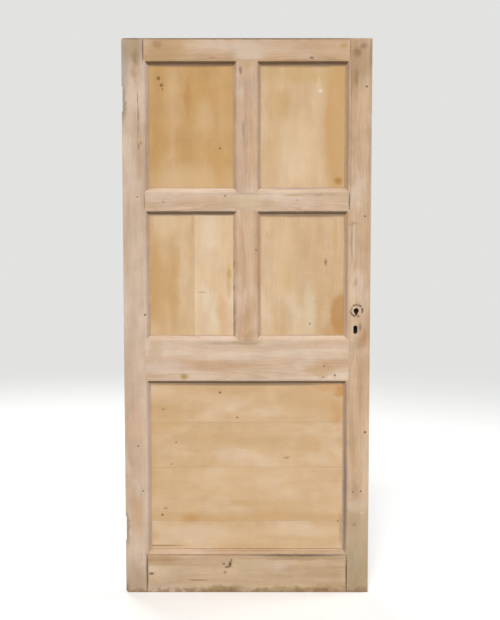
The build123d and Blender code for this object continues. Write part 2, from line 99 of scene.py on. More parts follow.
def empty_tree(owner: bpy.types.Material | bpy.types.World) -> bpy.types.NodeTree:
    """Gives a material or a world a node tree with nothing in it.

    Args:
        owner: the material or the world.

    Returns:
        Its tree.
    """
    owner.use_nodes = True
    owner.node_tree.nodes.clear()
    return owner.node_tree


def wandering(tree: bpy.types.NodeTree, noise_inputs: dict) -> bpy.types.NodeSocket:
    """Noise whose three channels run about nought, to shift a pattern's place.

    Args:
        tree: the tree to add the nodes to.
        noise_inputs: the noise's inputs.

    Returns:
        The vector, each channel within half of nought.
    """
    noise = add_node(tree, "ShaderNodeTexNoise", noise_inputs)
    return add_node(tree, "ShaderNodeVectorMath", {0: noise.outputs["Color"], 1: (0.5, 0.5, 0.5)},
                    operation="SUBTRACT").outputs[0]


def in_scene(name: str, data: bpy.types.ID) -> bpy.types.Object:
    """Makes an object of a mesh, a lamp or a camera, and links it to the scene.

    Args:
        name: the object's name.
        data: what it holds.

    Returns:
        The new object.
    """
    made = bpy.data.objects.new(name, data)
    bpy.context.scene.collection.objects.link(made)
    return made


class Grain(Enum):
    """Which way a timber's grain runs in the leaf."""

    UPRIGHT = "xyz"
    LEVEL = "zyx"


@dataclass(frozen=True)
class Knot:
    """A knot, by its place on the face and its radius, in millimetres from the frame's origin."""

    x: float
    z: float
    radius: float


@dataclass(frozen=True)
class Stain:
    """A soft-edged patch of another colour on the face, in millimetres from the frame's origin."""

    x: float
    z: float
    half_width: float
    half_height: float
    colour: str
    strength: float = 0.6
    softness: float = 0.6
    ragged: float = 40.0             # mm that the edge may wander


@dataclass(frozen=True)
class RingMark:
    """A broken ring that a round plate has left on the face, in millimetres."""

    x: float
    z: float
    radius: float
    width: float
    colour: str
    strength: float = 0.7
    ragged: float = 9.0              # mm that the ring may wander
    gap: float = 14.0                # mm from one break to the next


@dataclass(frozen=True)
class GrimeAndShade:
    """Varnish, dust and dirt left on the wood that the bath hasn't taken, with painted shade and highlight; depths in
    mm.
    """

    knot: str = "5e3c22"
    varnish_and_shade: str = "5f462f"          # on what faces down: old varnish, and painted shade
    dust: str = "8f7256"             # on what faces up
    # Low in the mouldings, most under them: partly dirt, partly painted shade.
    moulding_dirt_and_shade: str = "7f6049"
    splash: str = "7b5f3a"           # thrown up from the floor
    # In the nooks, from ambient occlusion: partly dirt, partly painted shade.
    nook_dirt_and_shade: str = "63493a"
    knot_show: float = 0.72
    # Pale arrises: partly rubbed wear, partly a painted highlight.
    rubbed_and_highlight_show: float = 0.5
    dust_show: float = 0.4
    moulding_show: float = 0.42
    splash_show: float = 0.6
    varnish_and_shade_slopes: tuple[float, float] = (-0.2, -0.62)    # the normal's rise where it starts, and is full
    dust_slopes: tuple[float, float] = (0.2, 0.6)
    shelter_slopes: tuple[float, float] = (0.2, -0.1)      # a moulding's dirt and painted shade start, and are full
    patch: float = 60.0              # across a patch of dirt
    nook_reach: float = 12.0         # how near another face must be to make a nook
    arris_reach: float = 3.5         # how thin the wood must be to make an arris
    moulding_dark_from: float = 12.0     # from the leaf's middle, where the dirt and painted shade in a moulding start
    moulding_dark_full: float = 7.6      # and where it is full
    past_panel: float = 6.3          # from the leaf's middle, just clear of a panel's face
    splash_top: float = 62.0         # above the leaf's foot
    splash_full: float = 2.0
    splash_patch: float = 22.0       # across a splash


@dataclass(frozen=True)
class Pine:
    """Old softwood, sawn through and through, stripped of its paint and left bare.

    Caustic stripping leaves it matt and a little furred, with the hard late wood of each ring standing
    proud and browner, and patches of old amber where the bath took less.
    """

    name: str
    grain: Grain
    pale: str = "dcc5b0"
    warm: str = "c6a98d"
    late: str = "9c7450"
    bleached: str = "e2cbb8"
    pith_across: float = 0.0         # mm, where the heart of the log lay, across the grain
    pith_depth: float = 95.0         # mm behind the face
    ring: float = 3.2                # mm of growth a year
    ring_sharpness: float = 3.2      # how late in the year the hard wood comes
    ring_show: float = 0.22
    fibre_across: float = 1.3        # mm
    fibre_along: float = 45.0        # mm
    streak_across: float = 30.0      # mm, for a calm of 1
    streak_along: float = 460.0      # mm
    cloud_across: float = 55.0       # mm, for a calm of 1
    cloud_along: float = 190.0       # mm
    contrast: float = 0.14           # of streaks and patches, for a calm of 1
    drift: float = 30.0              # mm that the log's lines wander
    drift_across: float = 90.0       # mm over which they do so across the grain
    drift_along: float = 620.0       # and along it
    stain_tooth: float = 38.0        # mm across a tooth of a stain's ragged edge
    stain_depth: float = 3.0         # mm either side of the leaf's middle where stains come in
    knot_tooth: float = 6.0          # mm across a tooth of a knot's edge
    seed: float = 0.0
    cloud: float = 0.55
    calm: float = 1.35               # above 1, broader and quieter streaks
    under: float = 0.6               # old varnish and painted shade, on what faces down
    dent: float = 9.0                # mm across a dent
    knots: tuple[Knot, ...] = ()
    stains: tuple[Stain, ...] = ()
    marks: tuple[RingMark, ...] = ()
    grime_and_shade: GrimeAndShade = GrimeAndShade()

    def build(self) -> bpy.types.Material:
        """Builds the material.

        Returns:
            The material.
        """
        material = bpy.data.materials.new(self.name)
        tree = empty_tree(material)
        place = self._place(tree)
        swelling, cores = self._knots(tree, place)
        late = self._rings(tree, place, swelling)
        # A real fibre is a few hundredths of a millimetre across, too fine to show, so it is drawn 1.3 mm wide.
        fibre = self._streak_noise(tree, place, across=self.fibre_across, along=self.fibre_along, detail=3.0,
                                   shift=11.0)
        colour = self._ground_colour(tree, place, late, fibre)
        colour = self._stained(tree, place, colour)
        colour = self._dark_knots(tree, colour, cores)
        colour = self._grimed_and_shaded(tree, place, colour)
        self._surface(tree, place, colour, late, fibre)
        return material

    def _place(self, tree: bpy.types.NodeTree) -> dict[str, bpy.types.NodeSocket]:
        """Object coordinates in millimetres: on the face, and turned so that the grain runs along Z.

        Args:
            tree: the material's tree.

        Returns:
            The sockets mm (x, y, z), face (x, 0, z), edge (a ragged offset) and log (across, depth, along).
        """
        coordinates = add_node(tree, "ShaderNodeTexCoord").outputs["Object"]
        mm = add_node(tree, "ShaderNodeVectorMath", {0: coordinates, "Scale": 1 / MM}, operation="SCALE").outputs[0]
        face = add_node(tree, "ShaderNodeVectorMath", {0: mm, 1: (1.0, 0.0, 1.0)}, operation="MULTIPLY").outputs[0]
        axes = add_node(tree, "ShaderNodeSeparateXYZ", {0: mm}).outputs
        turned = add_node(tree, "ShaderNodeCombineXYZ",
                          {i: axes["xyz".index(axis)] for i, axis in enumerate(self.grain.value)}).outputs[0]
        spread = (1 / self.drift_across, 1 / self.drift_across, 1 / self.drift_along)
        drawn_out = add_node(tree, "ShaderNodeMapping",
                             {"Vector": turned, "Location": (self.seed, 0, self.seed), "Scale": spread}).outputs[0]
        wander = wandering(tree, {"Vector": drawn_out, "Scale": 1.0, "Detail": 1.5})
        drift = add_node(tree, "ShaderNodeVectorMath", {0: wander, "Scale": self.drift}, operation="SCALE").outputs[0]
        log_place = add_node(tree, "ShaderNodeVectorMath", {0: turned, 1: drift}, operation="ADD").outputs[0]
        edge = wandering(tree, {"Vector": face, "Scale": 1 / self.stain_tooth, "Detail": 4.0, "Roughness": 0.62})
        return {"mm": mm, "face": face, "edge": edge, "log": log_place}

    def _streak_noise(self, tree: bpy.types.NodeTree, place: dict, across: float, along: float, detail: float,
                      shift: float) -> bpy.types.NodeSocket:
        """Noise drawn out along the grain.

        Args:
            tree: the material's tree.
            place: the sockets from _place.
            across: size of a feature across the grain, in mm.
            along: its length along the grain, in mm.
            detail: octaves.
            shift: moves the pattern, so that no two layers match.

        Returns:
            A value around 0.5.
        """
        mapping = add_node(tree, "ShaderNodeMapping",
                           {"Vector": place["log"], "Location": (self.seed + shift, shift, 0.0),
                            "Scale": (1 / across, 1 / across, 1 / along)})
        return add_node(tree, "ShaderNodeTexNoise",
                        {"Vector": mapping.outputs[0], "Scale": 1.0, "Detail": detail}).outputs["Fac"]

    def _knots(self, tree: bpy.types.NodeTree, place: dict) -> tuple:
        """The swelling of the rings round each knot, and the knots' dark cores.

        Args:
            tree: the material's tree.
            place: the sockets from _place.

        Returns:
            Two sockets or numbers: how far the rings give way, in mm, and a mask of the cores.
        """
        swelling, cores = 0.0, 0.0
        wobble = wandering(tree, {"Vector": place["face"], "Scale": 1 / self.knot_tooth, "Detail": 2.0})
        for knot in self.knots:
            rough = add_node(tree, "ShaderNodeVectorMath",
                             {0: wobble, 1: (knot.radius, 0.0, knot.radius), 2: place["face"]},
                             operation="MULTIPLY_ADD").outputs[0]
            distance = add_node(tree, "ShaderNodeVectorMath", {0: rough, 1: (knot.x, 0.0, knot.z)},
                                operation="DISTANCE").outputs["Value"]
            bulge = add_node(tree, "ShaderNodeMapRange",
                             {"Value": distance, "From Min": 4.5 * knot.radius, "From Max": 0.0, "To Min": 0.0,
                              "To Max": 2.2 * knot.radius}, interpolation_type="SMOOTHERSTEP").outputs[0]
            core = add_node(tree, "ShaderNodeMapRange",
                            {"Value": distance, "From Min": 1.25 * knot.radius, "From Max": 0.7 * knot.radius},
                            interpolation_type="SMOOTHSTEP").outputs[0]
            swelling = add_node(tree, "ShaderNodeMath", {0: swelling, 1: bulge}, operation="ADD").outputs[0]
            cores = add_node(tree, "ShaderNodeMath", {0: cores, 1: core}, operation="MAXIMUM").outputs[0]
        return swelling, cores

    def _rings(self, tree: bpy.types.NodeTree, place: dict, swelling) -> bpy.types.NodeSocket:
        """Growth rings round the log's heart.

        Args:
            tree: the material's tree.
            place: the sockets from _place.
            swelling: how far the rings give way round the knots, in mm.

        Returns:
            A mask of late wood, which builds up over each ring and stops short.
        """
        from_heart = add_node(tree, "ShaderNodeVectorMath",
                              {0: place["log"], 1: (self.pith_across, self.pith_depth, 0.0)},
                              operation="SUBTRACT").outputs[0]
        flat = add_node(tree, "ShaderNodeVectorMath", {0: from_heart, 1: (1.0, 1.0, 0.0)},
                        operation="MULTIPLY").outputs[0]
        radius = add_node(tree, "ShaderNodeVectorMath", {0: flat}, operation="LENGTH").outputs["Value"]
        swollen = add_node(tree, "ShaderNodeMath", {0: radius, 1: swelling}, operation="ADD").outputs[0]
        years = add_node(tree, "ShaderNodeMath", {0: swollen, 1: 1 / self.ring}, operation="MULTIPLY").outputs[0]
        season = add_node(tree, "ShaderNodeMath", {0: years}, operation="FRACT").outputs[0]
        return add_node(tree, "ShaderNodeMath", {0: season, 1: self.ring_sharpness}, operation="POWER").outputs[0]

    def _ground_colour(self, tree: bpy.types.NodeTree, place: dict, late, fibre) -> bpy.types.NodeSocket:
        """Bare wood: pale and warm streaks, bleached clouds, darker late wood and fine fibres.

        Args:
            tree: the material's tree.
            place: the sockets from _place.
            late: the mask of late wood.
            fibre: the fine streaks.

        Returns:
            The wood's colour.
        """
        broad = self._streak_noise(tree, place, across=self.streak_across * self.calm, along=self.streak_along,
                                   detail=4.0 / self.calm, shift=3.0)
        reach = self.contrast * self.calm
        share = add_node(tree, "ShaderNodeMapRange",
                         {"Value": broad, "From Min": 0.5 - reach, "From Max": 0.5 + reach})
        ground = add_node(tree, "ShaderNodeMix", {0: share.outputs[0], 6: linear(self.pale), 7: linear(self.warm)},
                          data_type="RGBA").outputs[2]
        drifting = self._streak_noise(tree, place, across=self.cloud_across * self.calm, along=self.cloud_along,
                                      detail=5.0 / self.calm, shift=29.0)
        clouds = add_node(tree, "ShaderNodeMapRange",
                          {"Value": drifting, "From Min": 0.5, "From Max": 0.7, "To Max": self.cloud},
                          interpolation_type="SMOOTHSTEP").outputs[0]
        washed = add_node(tree, "ShaderNodeMix", {0: clouds, 6: ground, 7: linear(self.bleached)},
                          data_type="RGBA").outputs[2]
        ring_share = add_node(tree, "ShaderNodeMath", {0: late, 1: self.ring_show}, operation="MULTIPLY").outputs[0]
        ringed = add_node(tree, "ShaderNodeMix", {0: ring_share, 6: washed, 7: linear(self.late)},
                          data_type="RGBA").outputs[2]
        patch = add_node(tree, "ShaderNodeTexNoise",
                         {"Vector": place["mm"], "Scale": 1 / self.grime_and_shade.patch, "Detail": 5.0})
        level = add_node(tree, "ShaderNodeMath", {0: patch.outputs["Fac"], 1: fibre}, operation="ADD").outputs[0]
        swing = self.contrast / self.calm
        shade = add_node(tree, "ShaderNodeMapRange",
                         {"Value": level, "From Min": 0.7, "From Max": 1.3, "To Min": 1.0 - swing,
                          "To Max": 1.0 + swing}).outputs[0]
        return add_node(tree, "ShaderNodeVectorMath", {0: ringed, "Scale": shade}, operation="SCALE").outputs[0]

    def _stained(self, tree: bpy.types.NodeTree, place: dict, colour) -> bpy.types.NodeSocket:
        """Lays each stain and ring mark over the bare wood of the front face.

        Args:
            tree: the material's tree.
            place: the sockets from _place.
            colour: the colour so far.

        Returns:
            The stained colour.
        """
        depth = add_node(tree, "ShaderNodeSeparateXYZ", {0: place["mm"]}).outputs["Y"]
        front = add_node(tree, "ShaderNodeMapRange",
                         {"Value": depth, "From Min": self.stain_depth, "From Max": -self.stain_depth}).outputs[0]
        layers = [(stain.colour, self._stain_share(tree, place, stain)) for stain in self.stains]
        layers += [(mark.colour, self._mark_share(tree, place, mark)) for mark in self.marks]
        for hex_colour, share in layers:
            seen = add_node(tree, "ShaderNodeMath", {0: share, 1: front}, operation="MULTIPLY").outputs[0]
            colour = add_node(tree, "ShaderNodeMix", {0: seen, 6: colour, 7: linear(hex_colour)},
                              data_type="RGBA").outputs[2]
        return colour

    def _stain_share(self, tree: bpy.types.NodeTree, place: dict, stain: Stain) -> bpy.types.NodeSocket:
        """How much of a stain's colour shows at each point.

        Args:
            tree: the material's tree.
            place: the sockets from _place.
            stain: the stain.

        Returns:
            A mask that falls off softly at the stain's ragged edge.
        """
        wavy = add_node(tree, "ShaderNodeVectorMath",
                        {0: place["edge"], 1: (stain.ragged, 0.0, stain.ragged), 2: place["face"]},
                        operation="MULTIPLY_ADD").outputs[0]
        offset = add_node(tree, "ShaderNodeVectorMath", {0: wavy, 1: (stain.x, 0.0, stain.z)},
                          operation="SUBTRACT").outputs[0]
        scaled = add_node(tree, "ShaderNodeVectorMath",
                          {0: offset, 1: (1 / stain.half_width, 0.0, 1 / stain.half_height)},
                          operation="MULTIPLY").outputs[0]
        reach = add_node(tree, "ShaderNodeVectorMath", {0: scaled}, operation="LENGTH").outputs["Value"]
        return add_node(tree, "ShaderNodeMapRange",
                        {"Value": reach, "From Min": 1.0 + stain.softness, "From Max": 1.0 - stain.softness,
                         "To Max": stain.strength}, interpolation_type="SMOOTHSTEP").outputs[0]

    def _mark_share(self, tree: bpy.types.NodeTree, place: dict, mark: RingMark) -> bpy.types.NodeSocket:
        """How much of a ring mark's colour shows at each point.

        Args:
            tree: the material's tree.
            place: the sockets from _place.
            mark: the ring mark.

        Returns:
            A mask of the ring, with its breaks.
        """
        uneven = add_node(tree, "ShaderNodeVectorMath",
                          {0: place["edge"], 1: (mark.ragged, 0.0, mark.ragged), 2: place["face"]},
                          operation="MULTIPLY_ADD").outputs[0]
        distance = add_node(tree, "ShaderNodeVectorMath", {0: uneven, 1: (mark.x, 0.0, mark.z)},
                            operation="DISTANCE").outputs["Value"]
        off = add_node(tree, "ShaderNodeMath", {0: distance, 1: mark.radius}, operation="SUBTRACT").outputs[0]
        away = add_node(tree, "ShaderNodeMath", {0: off}, operation="ABSOLUTE").outputs[0]
        band = add_node(tree, "ShaderNodeMapRange", {"Value": away, "From Min": mark.width, "From Max": 0.0},
                        interpolation_type="SMOOTHSTEP").outputs[0]
        breaks = add_node(tree, "ShaderNodeTexNoise", {"Vector": place["face"], "Scale": 1 / mark.gap, "Detail": 1.0})
        gaps = add_node(tree, "ShaderNodeMapRange",
                        {"Value": breaks.outputs["Fac"], "From Min": 0.44, "From Max": 0.54, "To Min": 0.08,
                         "To Max": mark.strength}).outputs[0]
        return add_node(tree, "ShaderNodeMath", {0: band, 1: gaps}, operation="MULTIPLY").outputs[0]

    def _dark_knots(self, tree: bpy.types.NodeTree, colour, cores) -> bpy.types.NodeSocket:
        """Browns the knots' cores.

        Args:
            tree: the material's tree.
            colour: the colour so far.
            cores: the mask of the knots' cores.

        Returns:
            The colour with its knots.
        """
        share = add_node(tree, "ShaderNodeMath", {0: cores, 1: self.grime_and_shade.knot_show}, operation="MULTIPLY").outputs[0]
        return add_node(tree, "ShaderNodeMix", {0: share, 6: colour, 7: linear(self.grime_and_shade.knot)},
                        data_type="RGBA").outputs[2]

    def _grimed_and_shaded(self, tree: bpy.types.NodeTree, place: dict, colour) -> bpy.types.NodeSocket:
        """Painted shade with dirt and varnish in quirks, shoulders and under mouldings, dirt at the foot, and pale
        arrises, partly rubbed, partly painted highlight.

        Args:
            tree: the material's tree.
            place: the sockets from _place.
            colour: the colour so far.

        Returns:
            The colour with its dirt and wear.
        """
        grime_and_shade = self.grime_and_shade
        patchy = add_node(tree, "ShaderNodeTexNoise",
                          {"Vector": place["face"], "Scale": 1 / grime_and_shade.patch, "Detail": 3.0}).outputs["Fac"]
        nook = add_node(tree, "ShaderNodeAmbientOcclusion", {"Distance": grime_and_shade.nook_reach * MM},
                        samples=8).outputs["AO"]
        normal = add_node(tree, "ShaderNodeVectorTransform",
                          {0: add_node(tree, "ShaderNodeNewGeometry").outputs["Normal"]},
                          vector_type="NORMAL", convert_from="WORLD", convert_to="OBJECT").outputs[0]
        slope = add_node(tree, "ShaderNodeSeparateXYZ", {0: normal}).outputs["Z"]
        starts, full = grime_and_shade.varnish_and_shade_slopes
        # Old varnish and painted shade on what faces down.
        under = add_node(tree, "ShaderNodeMapRange",
                         {"Value": slope, "From Min": starts, "From Max": full, "To Max": self.under},
                         interpolation_type="SMOOTHSTEP").outputs[0]
        # The rubbed layer is partly a painted highlight; the varnish, moulding and nook layers are partly painted
        # shade.
        layers = [
            (self.bleached, self._rubbed_and_highlight_share(tree, nook)),
            (grime_and_shade.varnish_and_shade, under),
            (grime_and_shade.dust, self._dust_share(tree, slope, patchy)),
            (grime_and_shade.moulding_dirt_and_shade, self._moulding_dirt_and_shade_share(tree, place, slope)),
            (grime_and_shade.splash, self._splash_share(tree, place)),
            (grime_and_shade.nook_dirt_and_shade, self._nook_share(tree, nook, patchy)),
        ]
        for hex_colour, share in layers:
            colour = add_node(tree, "ShaderNodeMix", {0: share, 6: colour, 7: linear(hex_colour)},
                              data_type="RGBA").outputs[2]
        return colour

    def _rubbed_and_highlight_share(self, tree: bpy.types.NodeTree, nook) -> bpy.types.NodeSocket:
        """Where arrises are pale, clear of any nook: partly rubbed wear, partly a painted highlight.

        Args:
            tree: the material's tree.
            nook: the open share of the view from each point.

        Returns:
            The mask.
        """
        thin = add_node(tree, "ShaderNodeAmbientOcclusion", {"Distance": self.grime_and_shade.arris_reach * MM}, samples=6,
                        inside=True).outputs["AO"]
        edge = add_node(tree, "ShaderNodeMapRange",
                        {"Value": thin, "From Min": 0.86, "From Max": 0.5, "To Max": self.grime_and_shade.rubbed_and_highlight_show},
                        interpolation_type="SMOOTHSTEP").outputs[0]
        clear = add_node(tree, "ShaderNodeMapRange", {"Value": nook, "From Min": 0.82, "From Max": 0.97}).outputs[0]
        return add_node(tree, "ShaderNodeMath", {0: edge, 1: clear}, operation="MULTIPLY").outputs[0]

    def _dust_share(self, tree: bpy.types.NodeTree, slope, patchy) -> bpy.types.NodeSocket:
        """Where dust lies in patches on what faces up.

        Args:
            tree: the material's tree.
            slope: the upward share of the surface's normal.
            patchy: the dirt's patches.

        Returns:
            The mask.
        """
        starts, full = self.grime_and_shade.dust_slopes
        upper = add_node(tree, "ShaderNodeMapRange",
                         {"Value": slope, "From Min": starts, "From Max": full, "To Max": self.grime_and_shade.dust_show},
                         interpolation_type="SMOOTHSTEP").outputs[0]
        return add_node(tree, "ShaderNodeMath", {0: upper, 1: patchy}, operation="MULTIPLY").outputs[0]

    def _moulding_dirt_and_shade_share(self, tree: bpy.types.NodeTree, place: dict, slope) -> bpy.types.NodeSocket:
        """Where dirt and painted shade lie low in the mouldings, most under them and at their sides.

        Args:
            tree: the material's tree.
            place: the sockets from _place.
            slope: the upward share of the surface's normal.

        Returns:
            The mask.
        """
        grime_and_shade = self.grime_and_shade
        depth = add_node(tree, "ShaderNodeSeparateXYZ", {0: place["mm"]}).outputs["Y"]
        proud_by = add_node(tree, "ShaderNodeMath", {0: depth}, operation="ABSOLUTE").outputs[0]
        deep = add_node(tree, "ShaderNodeMapRange",
                        {"Value": proud_by, "From Min": grime_and_shade.moulding_dark_from, "From Max": grime_and_shade.moulding_dark_full,
                         "To Max": grime_and_shade.moulding_show}).outputs[0]
        framing = add_node(tree, "ShaderNodeMath", {0: proud_by, 1: grime_and_shade.past_panel},
                           operation="GREATER_THAN").outputs[0]
        starts, full = grime_and_shade.shelter_slopes
        sheltered = add_node(tree, "ShaderNodeMapRange",
                             {"Value": slope, "From Min": starts, "From Max": full, "To Min": 0.08}).outputs[0]
        inner = add_node(tree, "ShaderNodeMath", {0: deep, 1: framing}, operation="MULTIPLY").outputs[0]
        return add_node(tree, "ShaderNodeMath", {0: inner, 1: sheltered}, operation="MULTIPLY").outputs[0]

    def _splash_share(self, tree: bpy.types.NodeTree, place: dict) -> bpy.types.NodeSocket:
        """Where the foot of the leaf is splashed.

        Args:
            tree: the material's tree.
            place: the sockets from _place.

        Returns:
            The mask.
        """
        grime_and_shade = self.grime_and_shade
        height = add_node(tree, "ShaderNodeSeparateXYZ", {0: place["mm"]}).outputs["Z"]
        low = add_node(tree, "ShaderNodeMapRange",
                       {"Value": height, "From Min": grime_and_shade.splash_top, "From Max": grime_and_shade.splash_full}).outputs[0]
        splash = add_node(tree, "ShaderNodeTexNoise",
                          {"Vector": place["face"], "Scale": 1 / grime_and_shade.splash_patch, "Detail": 4.0}).outputs["Fac"]
        spread = add_node(tree, "ShaderNodeMath", {0: splash, 1: low}, operation="MULTIPLY").outputs[0]
        return add_node(tree, "ShaderNodeMapRange",
                        {"Value": spread, "From Min": 0.36, "From Max": 0.56,
                         "To Max": grime_and_shade.splash_show}).outputs[0]

    def _nook_share(self, tree: bpy.types.NodeTree, nook, patchy) -> bpy.types.NodeSocket:
        """Where dirt and painted shade fill the nooks, more in some patches than in others.

        Args:
            tree: the material's tree.
            nook: the open share of the view from each point.
            patchy: the dirt's patches.

        Returns:
            The mask.
        """
        limit = add_node(tree, "ShaderNodeMapRange",
                         {"Value": patchy, "From Min": 0.35, "From Max": 0.65, "To Min": 0.45,
                          "To Max": 0.9}).outputs[0]
        return add_node(tree, "ShaderNodeMapRange",
                        {"Value": nook, "From Min": 0.76, "From Max": 0.25, "To Max": limit},
                        interpolation_type="SMOOTHSTEP").outputs[0]

    def _surface(self, tree: bpy.types.NodeTree, place: dict, colour, late, fibre) -> None:
        """Matt shader with the grain's relief.

        Args:
            tree: the material's tree.
            place: the sockets from _place.
            colour: the finished colour.
            late: the mask of late wood.
            fibre: the fine streaks.
        """
        dents = add_node(tree, "ShaderNodeTexNoise", {"Vector": place["mm"], "Scale": 1 / self.dent, "Detail": 3.0})
        ridge = add_node(tree, "ShaderNodeMath", {0: late, 1: 0.12}, operation="MULTIPLY").outputs[0]
        furred = add_node(tree, "ShaderNodeMath", {0: fibre, 1: 0.28, 2: ridge}, operation="MULTIPLY_ADD").outputs[0]
        height = add_node(tree, "ShaderNodeMath", {0: dents.outputs["Fac"], 1: 0.5, 2: furred},
                          operation="MULTIPLY_ADD").outputs[0]
        bump = add_node(tree, "ShaderNodeBump", {"Height": height, "Distance": MM, "Strength": 0.7})
        rough = add_node(tree, "ShaderNodeMapRange",
                         {"Value": fibre, "From Min": 0.3, "From Max": 0.7, "To Min": 0.52, "To Max": 0.7}).outputs[0]
        shader = add_node(tree, "ShaderNodeBsdfPrincipled",
                          {"Base Color": colour, "Roughness": rough, "IOR": 1.5, "Specular IOR Level": 0.35,
                           "Normal": bump.outputs[0]})
        add_node(tree, "ShaderNodeOutputMaterial", {"Surface": shader.outputs[0]})


@dataclass(frozen=True)
class Metal:
    """A small cast, pressed or turned metal part, tarnished or rusted."""

    name: str
    clean: str
    tarnish: str
    metallic: float
    roughness: float
    patch: float = 9.0               # mm across a patch of tarnish
    share: float = 0.5
    blend: float = 0.3               # how gently the tarnish comes in
    scratch: float = 0.6             # mm across a scratch
    scratch_depth: float = 0.05      # mm
    dulled: float = 0.3              # roughness that tarnish adds

    def build(self) -> bpy.types.Material:
        """Builds the material.

        Returns:
            The material.
        """
        material = bpy.data.materials.new(self.name)
        tree = empty_tree(material)
        coordinates = add_node(tree, "ShaderNodeTexCoord").outputs["Object"]
        blotch = add_node(tree, "ShaderNodeTexNoise",
                          {"Vector": coordinates, "Scale": 1 / (self.patch * MM), "Detail": 5.0})
        level = 0.7 - 0.4 * self.share                         # the noise is tarnish above this level
        share = add_node(tree, "ShaderNodeMapRange",
                         {"Value": blotch.outputs["Fac"], "From Min": level - self.blend / 2,
                          "From Max": level + self.blend / 2}, interpolation_type="SMOOTHSTEP").outputs[0]
        colour = add_node(tree, "ShaderNodeMix", {0: share, 6: linear(self.clean), 7: linear(self.tarnish)},
                          data_type="RGBA").outputs[2]
        # File marks and grit are near 0.1 mm, too fine to show, so they are drawn 0.6 mm wide.
        marks = add_node(tree, "ShaderNodeTexNoise",
                         {"Vector": coordinates, "Scale": 1 / (self.scratch * MM), "Detail": 3.0})
        rough = add_node(tree, "ShaderNodeMapRange",
                         {"Value": share, "To Min": self.roughness, "To Max": min(self.roughness + self.dulled, 0.95)})
        bump = add_node(tree, "ShaderNodeBump",
                        {"Height": marks.outputs["Fac"], "Distance": self.scratch_depth * MM, "Strength": 0.6})
        shader = add_node(tree, "ShaderNodeBsdfPrincipled",
                          {"Base Color": colour, "Roughness": rough.outputs[0], "Metallic": self.metallic,
                           "Normal": bump.outputs[0]})
        add_node(tree, "ShaderNodeOutputMaterial", {"Surface": shader.outputs[0]})
        return material


@dataclass(frozen=True)
class Opening:
    """A panel's opening, out to where its moulding meets the flat faces, in millimetres."""

    left: float
    right: float
    low: float
    high: float

    def inset(self, x: float, z: float) -> float:
        """How far a point lies inside the opening, measured square from its nearest side."""
        return min(x - self.left, self.right - x, z - self.low, self.high - z)


@dataclass(frozen=True)
class StuckMoulding:
    """The moulding run round every opening: a small quirk, a nose that rolls over, and a foot above the panel."""

    width: float = 19.0
    quirk: float = 0.4
    foot: float = 12.3
    nose_from: float = 3.2           # where the nose starts to roll over
    nose_to: float = 18.2            # where it runs out on the foot
    half_thickness: float = 19.0
    panel_half: float = 6.0
    margin: float = 0.05             # kept clear of the flat faces and the panels
    cuts: tuple[float, ...] = (3.2, 5.4, 7.2, 9.0, 10.8, 12.6, 14.4, 16.2, 17.8)
    openings: tuple[Opening, ...] = (
        Opening(-369, -30, 1464, 1935), Opening(30, 369, 1464, 1935), Opening(-369, -30, 933, 1405),
        Opening(30, 369, 933, 1405), Opening(-369, 369, 142, 798))

    def depth(self, inset: float) -> float:
        """The moulding's depth below the flat face.

        Args:
            inset: distance in from the flat face's edge, in mm.

        Returns:
            Depth in mm.
        """
        rolled = min(max((inset - self.nose_from) / (self.nose_to - self.nose_from), 0.0), 1.0)
        return self.quirk + (self.foot - self.quirk) * rolled * rolled * (3.0 - 2.0 * rolled)

    def planes(self, axis: int) -> list[float]:
        """Where the moulding is cut, so that it can take its curve.

        Args:
            axis: 0 for the upright runs, 2 for the level runs.

        Returns:
            Places along the axis, in mm.
        """
        places = set()
        for opening in self.openings:
            low, high = (opening.left, opening.right) if axis == 0 else (opening.low, opening.high)
            places.update(low + cut for cut in self.cuts)
            places.update(high - cut for cut in self.cuts)
        return sorted(places)

    def shape(self, copy: bmesh.types.BMesh) -> None:
        """Gives the curve to whatever part of a timber's mesh is moulding.

        Args:
            copy: the mesh, changed in place.
        """
        for vertex in copy.verts:
            x, y, z = (value / MM for value in vertex.co)
            if not self.panel_half + self.margin < abs(y) < self.half_thickness - self.margin:
                continue
            inset = max(opening.inset(x, z) for opening in self.openings)
            if -self.margin < inset < self.width - self.margin:
                vertex.co.y = math.copysign((self.half_thickness - self.depth(inset)) * MM, y)


@dataclass(frozen=True)
class Settling:
    """The lock rail's low edge stands a little lower than square, and its neighbours' mouldings with it."""

    drop: float = 6.0                # mm
    low: float = 735.0               # nothing drops below this height
    full_from: float = 768.0         # the whole drop, from here
    full_to: float = 802.0           # to here
    high: float = 865.0              # nothing drops above this height

    def shape(self, copy: bmesh.types.BMesh) -> None:
        """Lowers a mesh between the two ends, most at the rail's edge.

        Args:
            copy: the mesh, changed in place.
        """
        for vertex in copy.verts:
            z = vertex.co.z / MM
            if self.low < z < self.high:
                share = min((z - self.low) / (self.full_from - self.low), (self.high - z) / (self.high - self.full_to),
                            1.0)
                vertex.co.z -= self.drop * share * MM


def geometry_tree(name: str, numbers: tuple[str, ...]) -> tuple[bpy.types.NodeTree, bpy.types.NodeOutputs]:
    """Starts a geometry tree that takes a mesh, some numbers and a finish.

    Args:
        name: the tree's name.
        numbers: the names of its number inputs.

    Returns:
        The tree, and the sockets of its inputs.
    """
    tree = bpy.data.node_groups.new(name, "GeometryNodeTree")
    tree.interface.new_socket("Geometry", in_out="INPUT", socket_type="NodeSocketGeometry")
    for number in numbers:
        tree.interface.new_socket(number, in_out="INPUT", socket_type="NodeSocketFloat")
    tree.interface.new_socket("Finish", in_out="INPUT", socket_type="NodeSocketMaterial")
    tree.interface.new_socket("Geometry", in_out="OUTPUT", socket_type="NodeSocketGeometry")
    return tree, add_node(tree, "NodeGroupInput").outputs


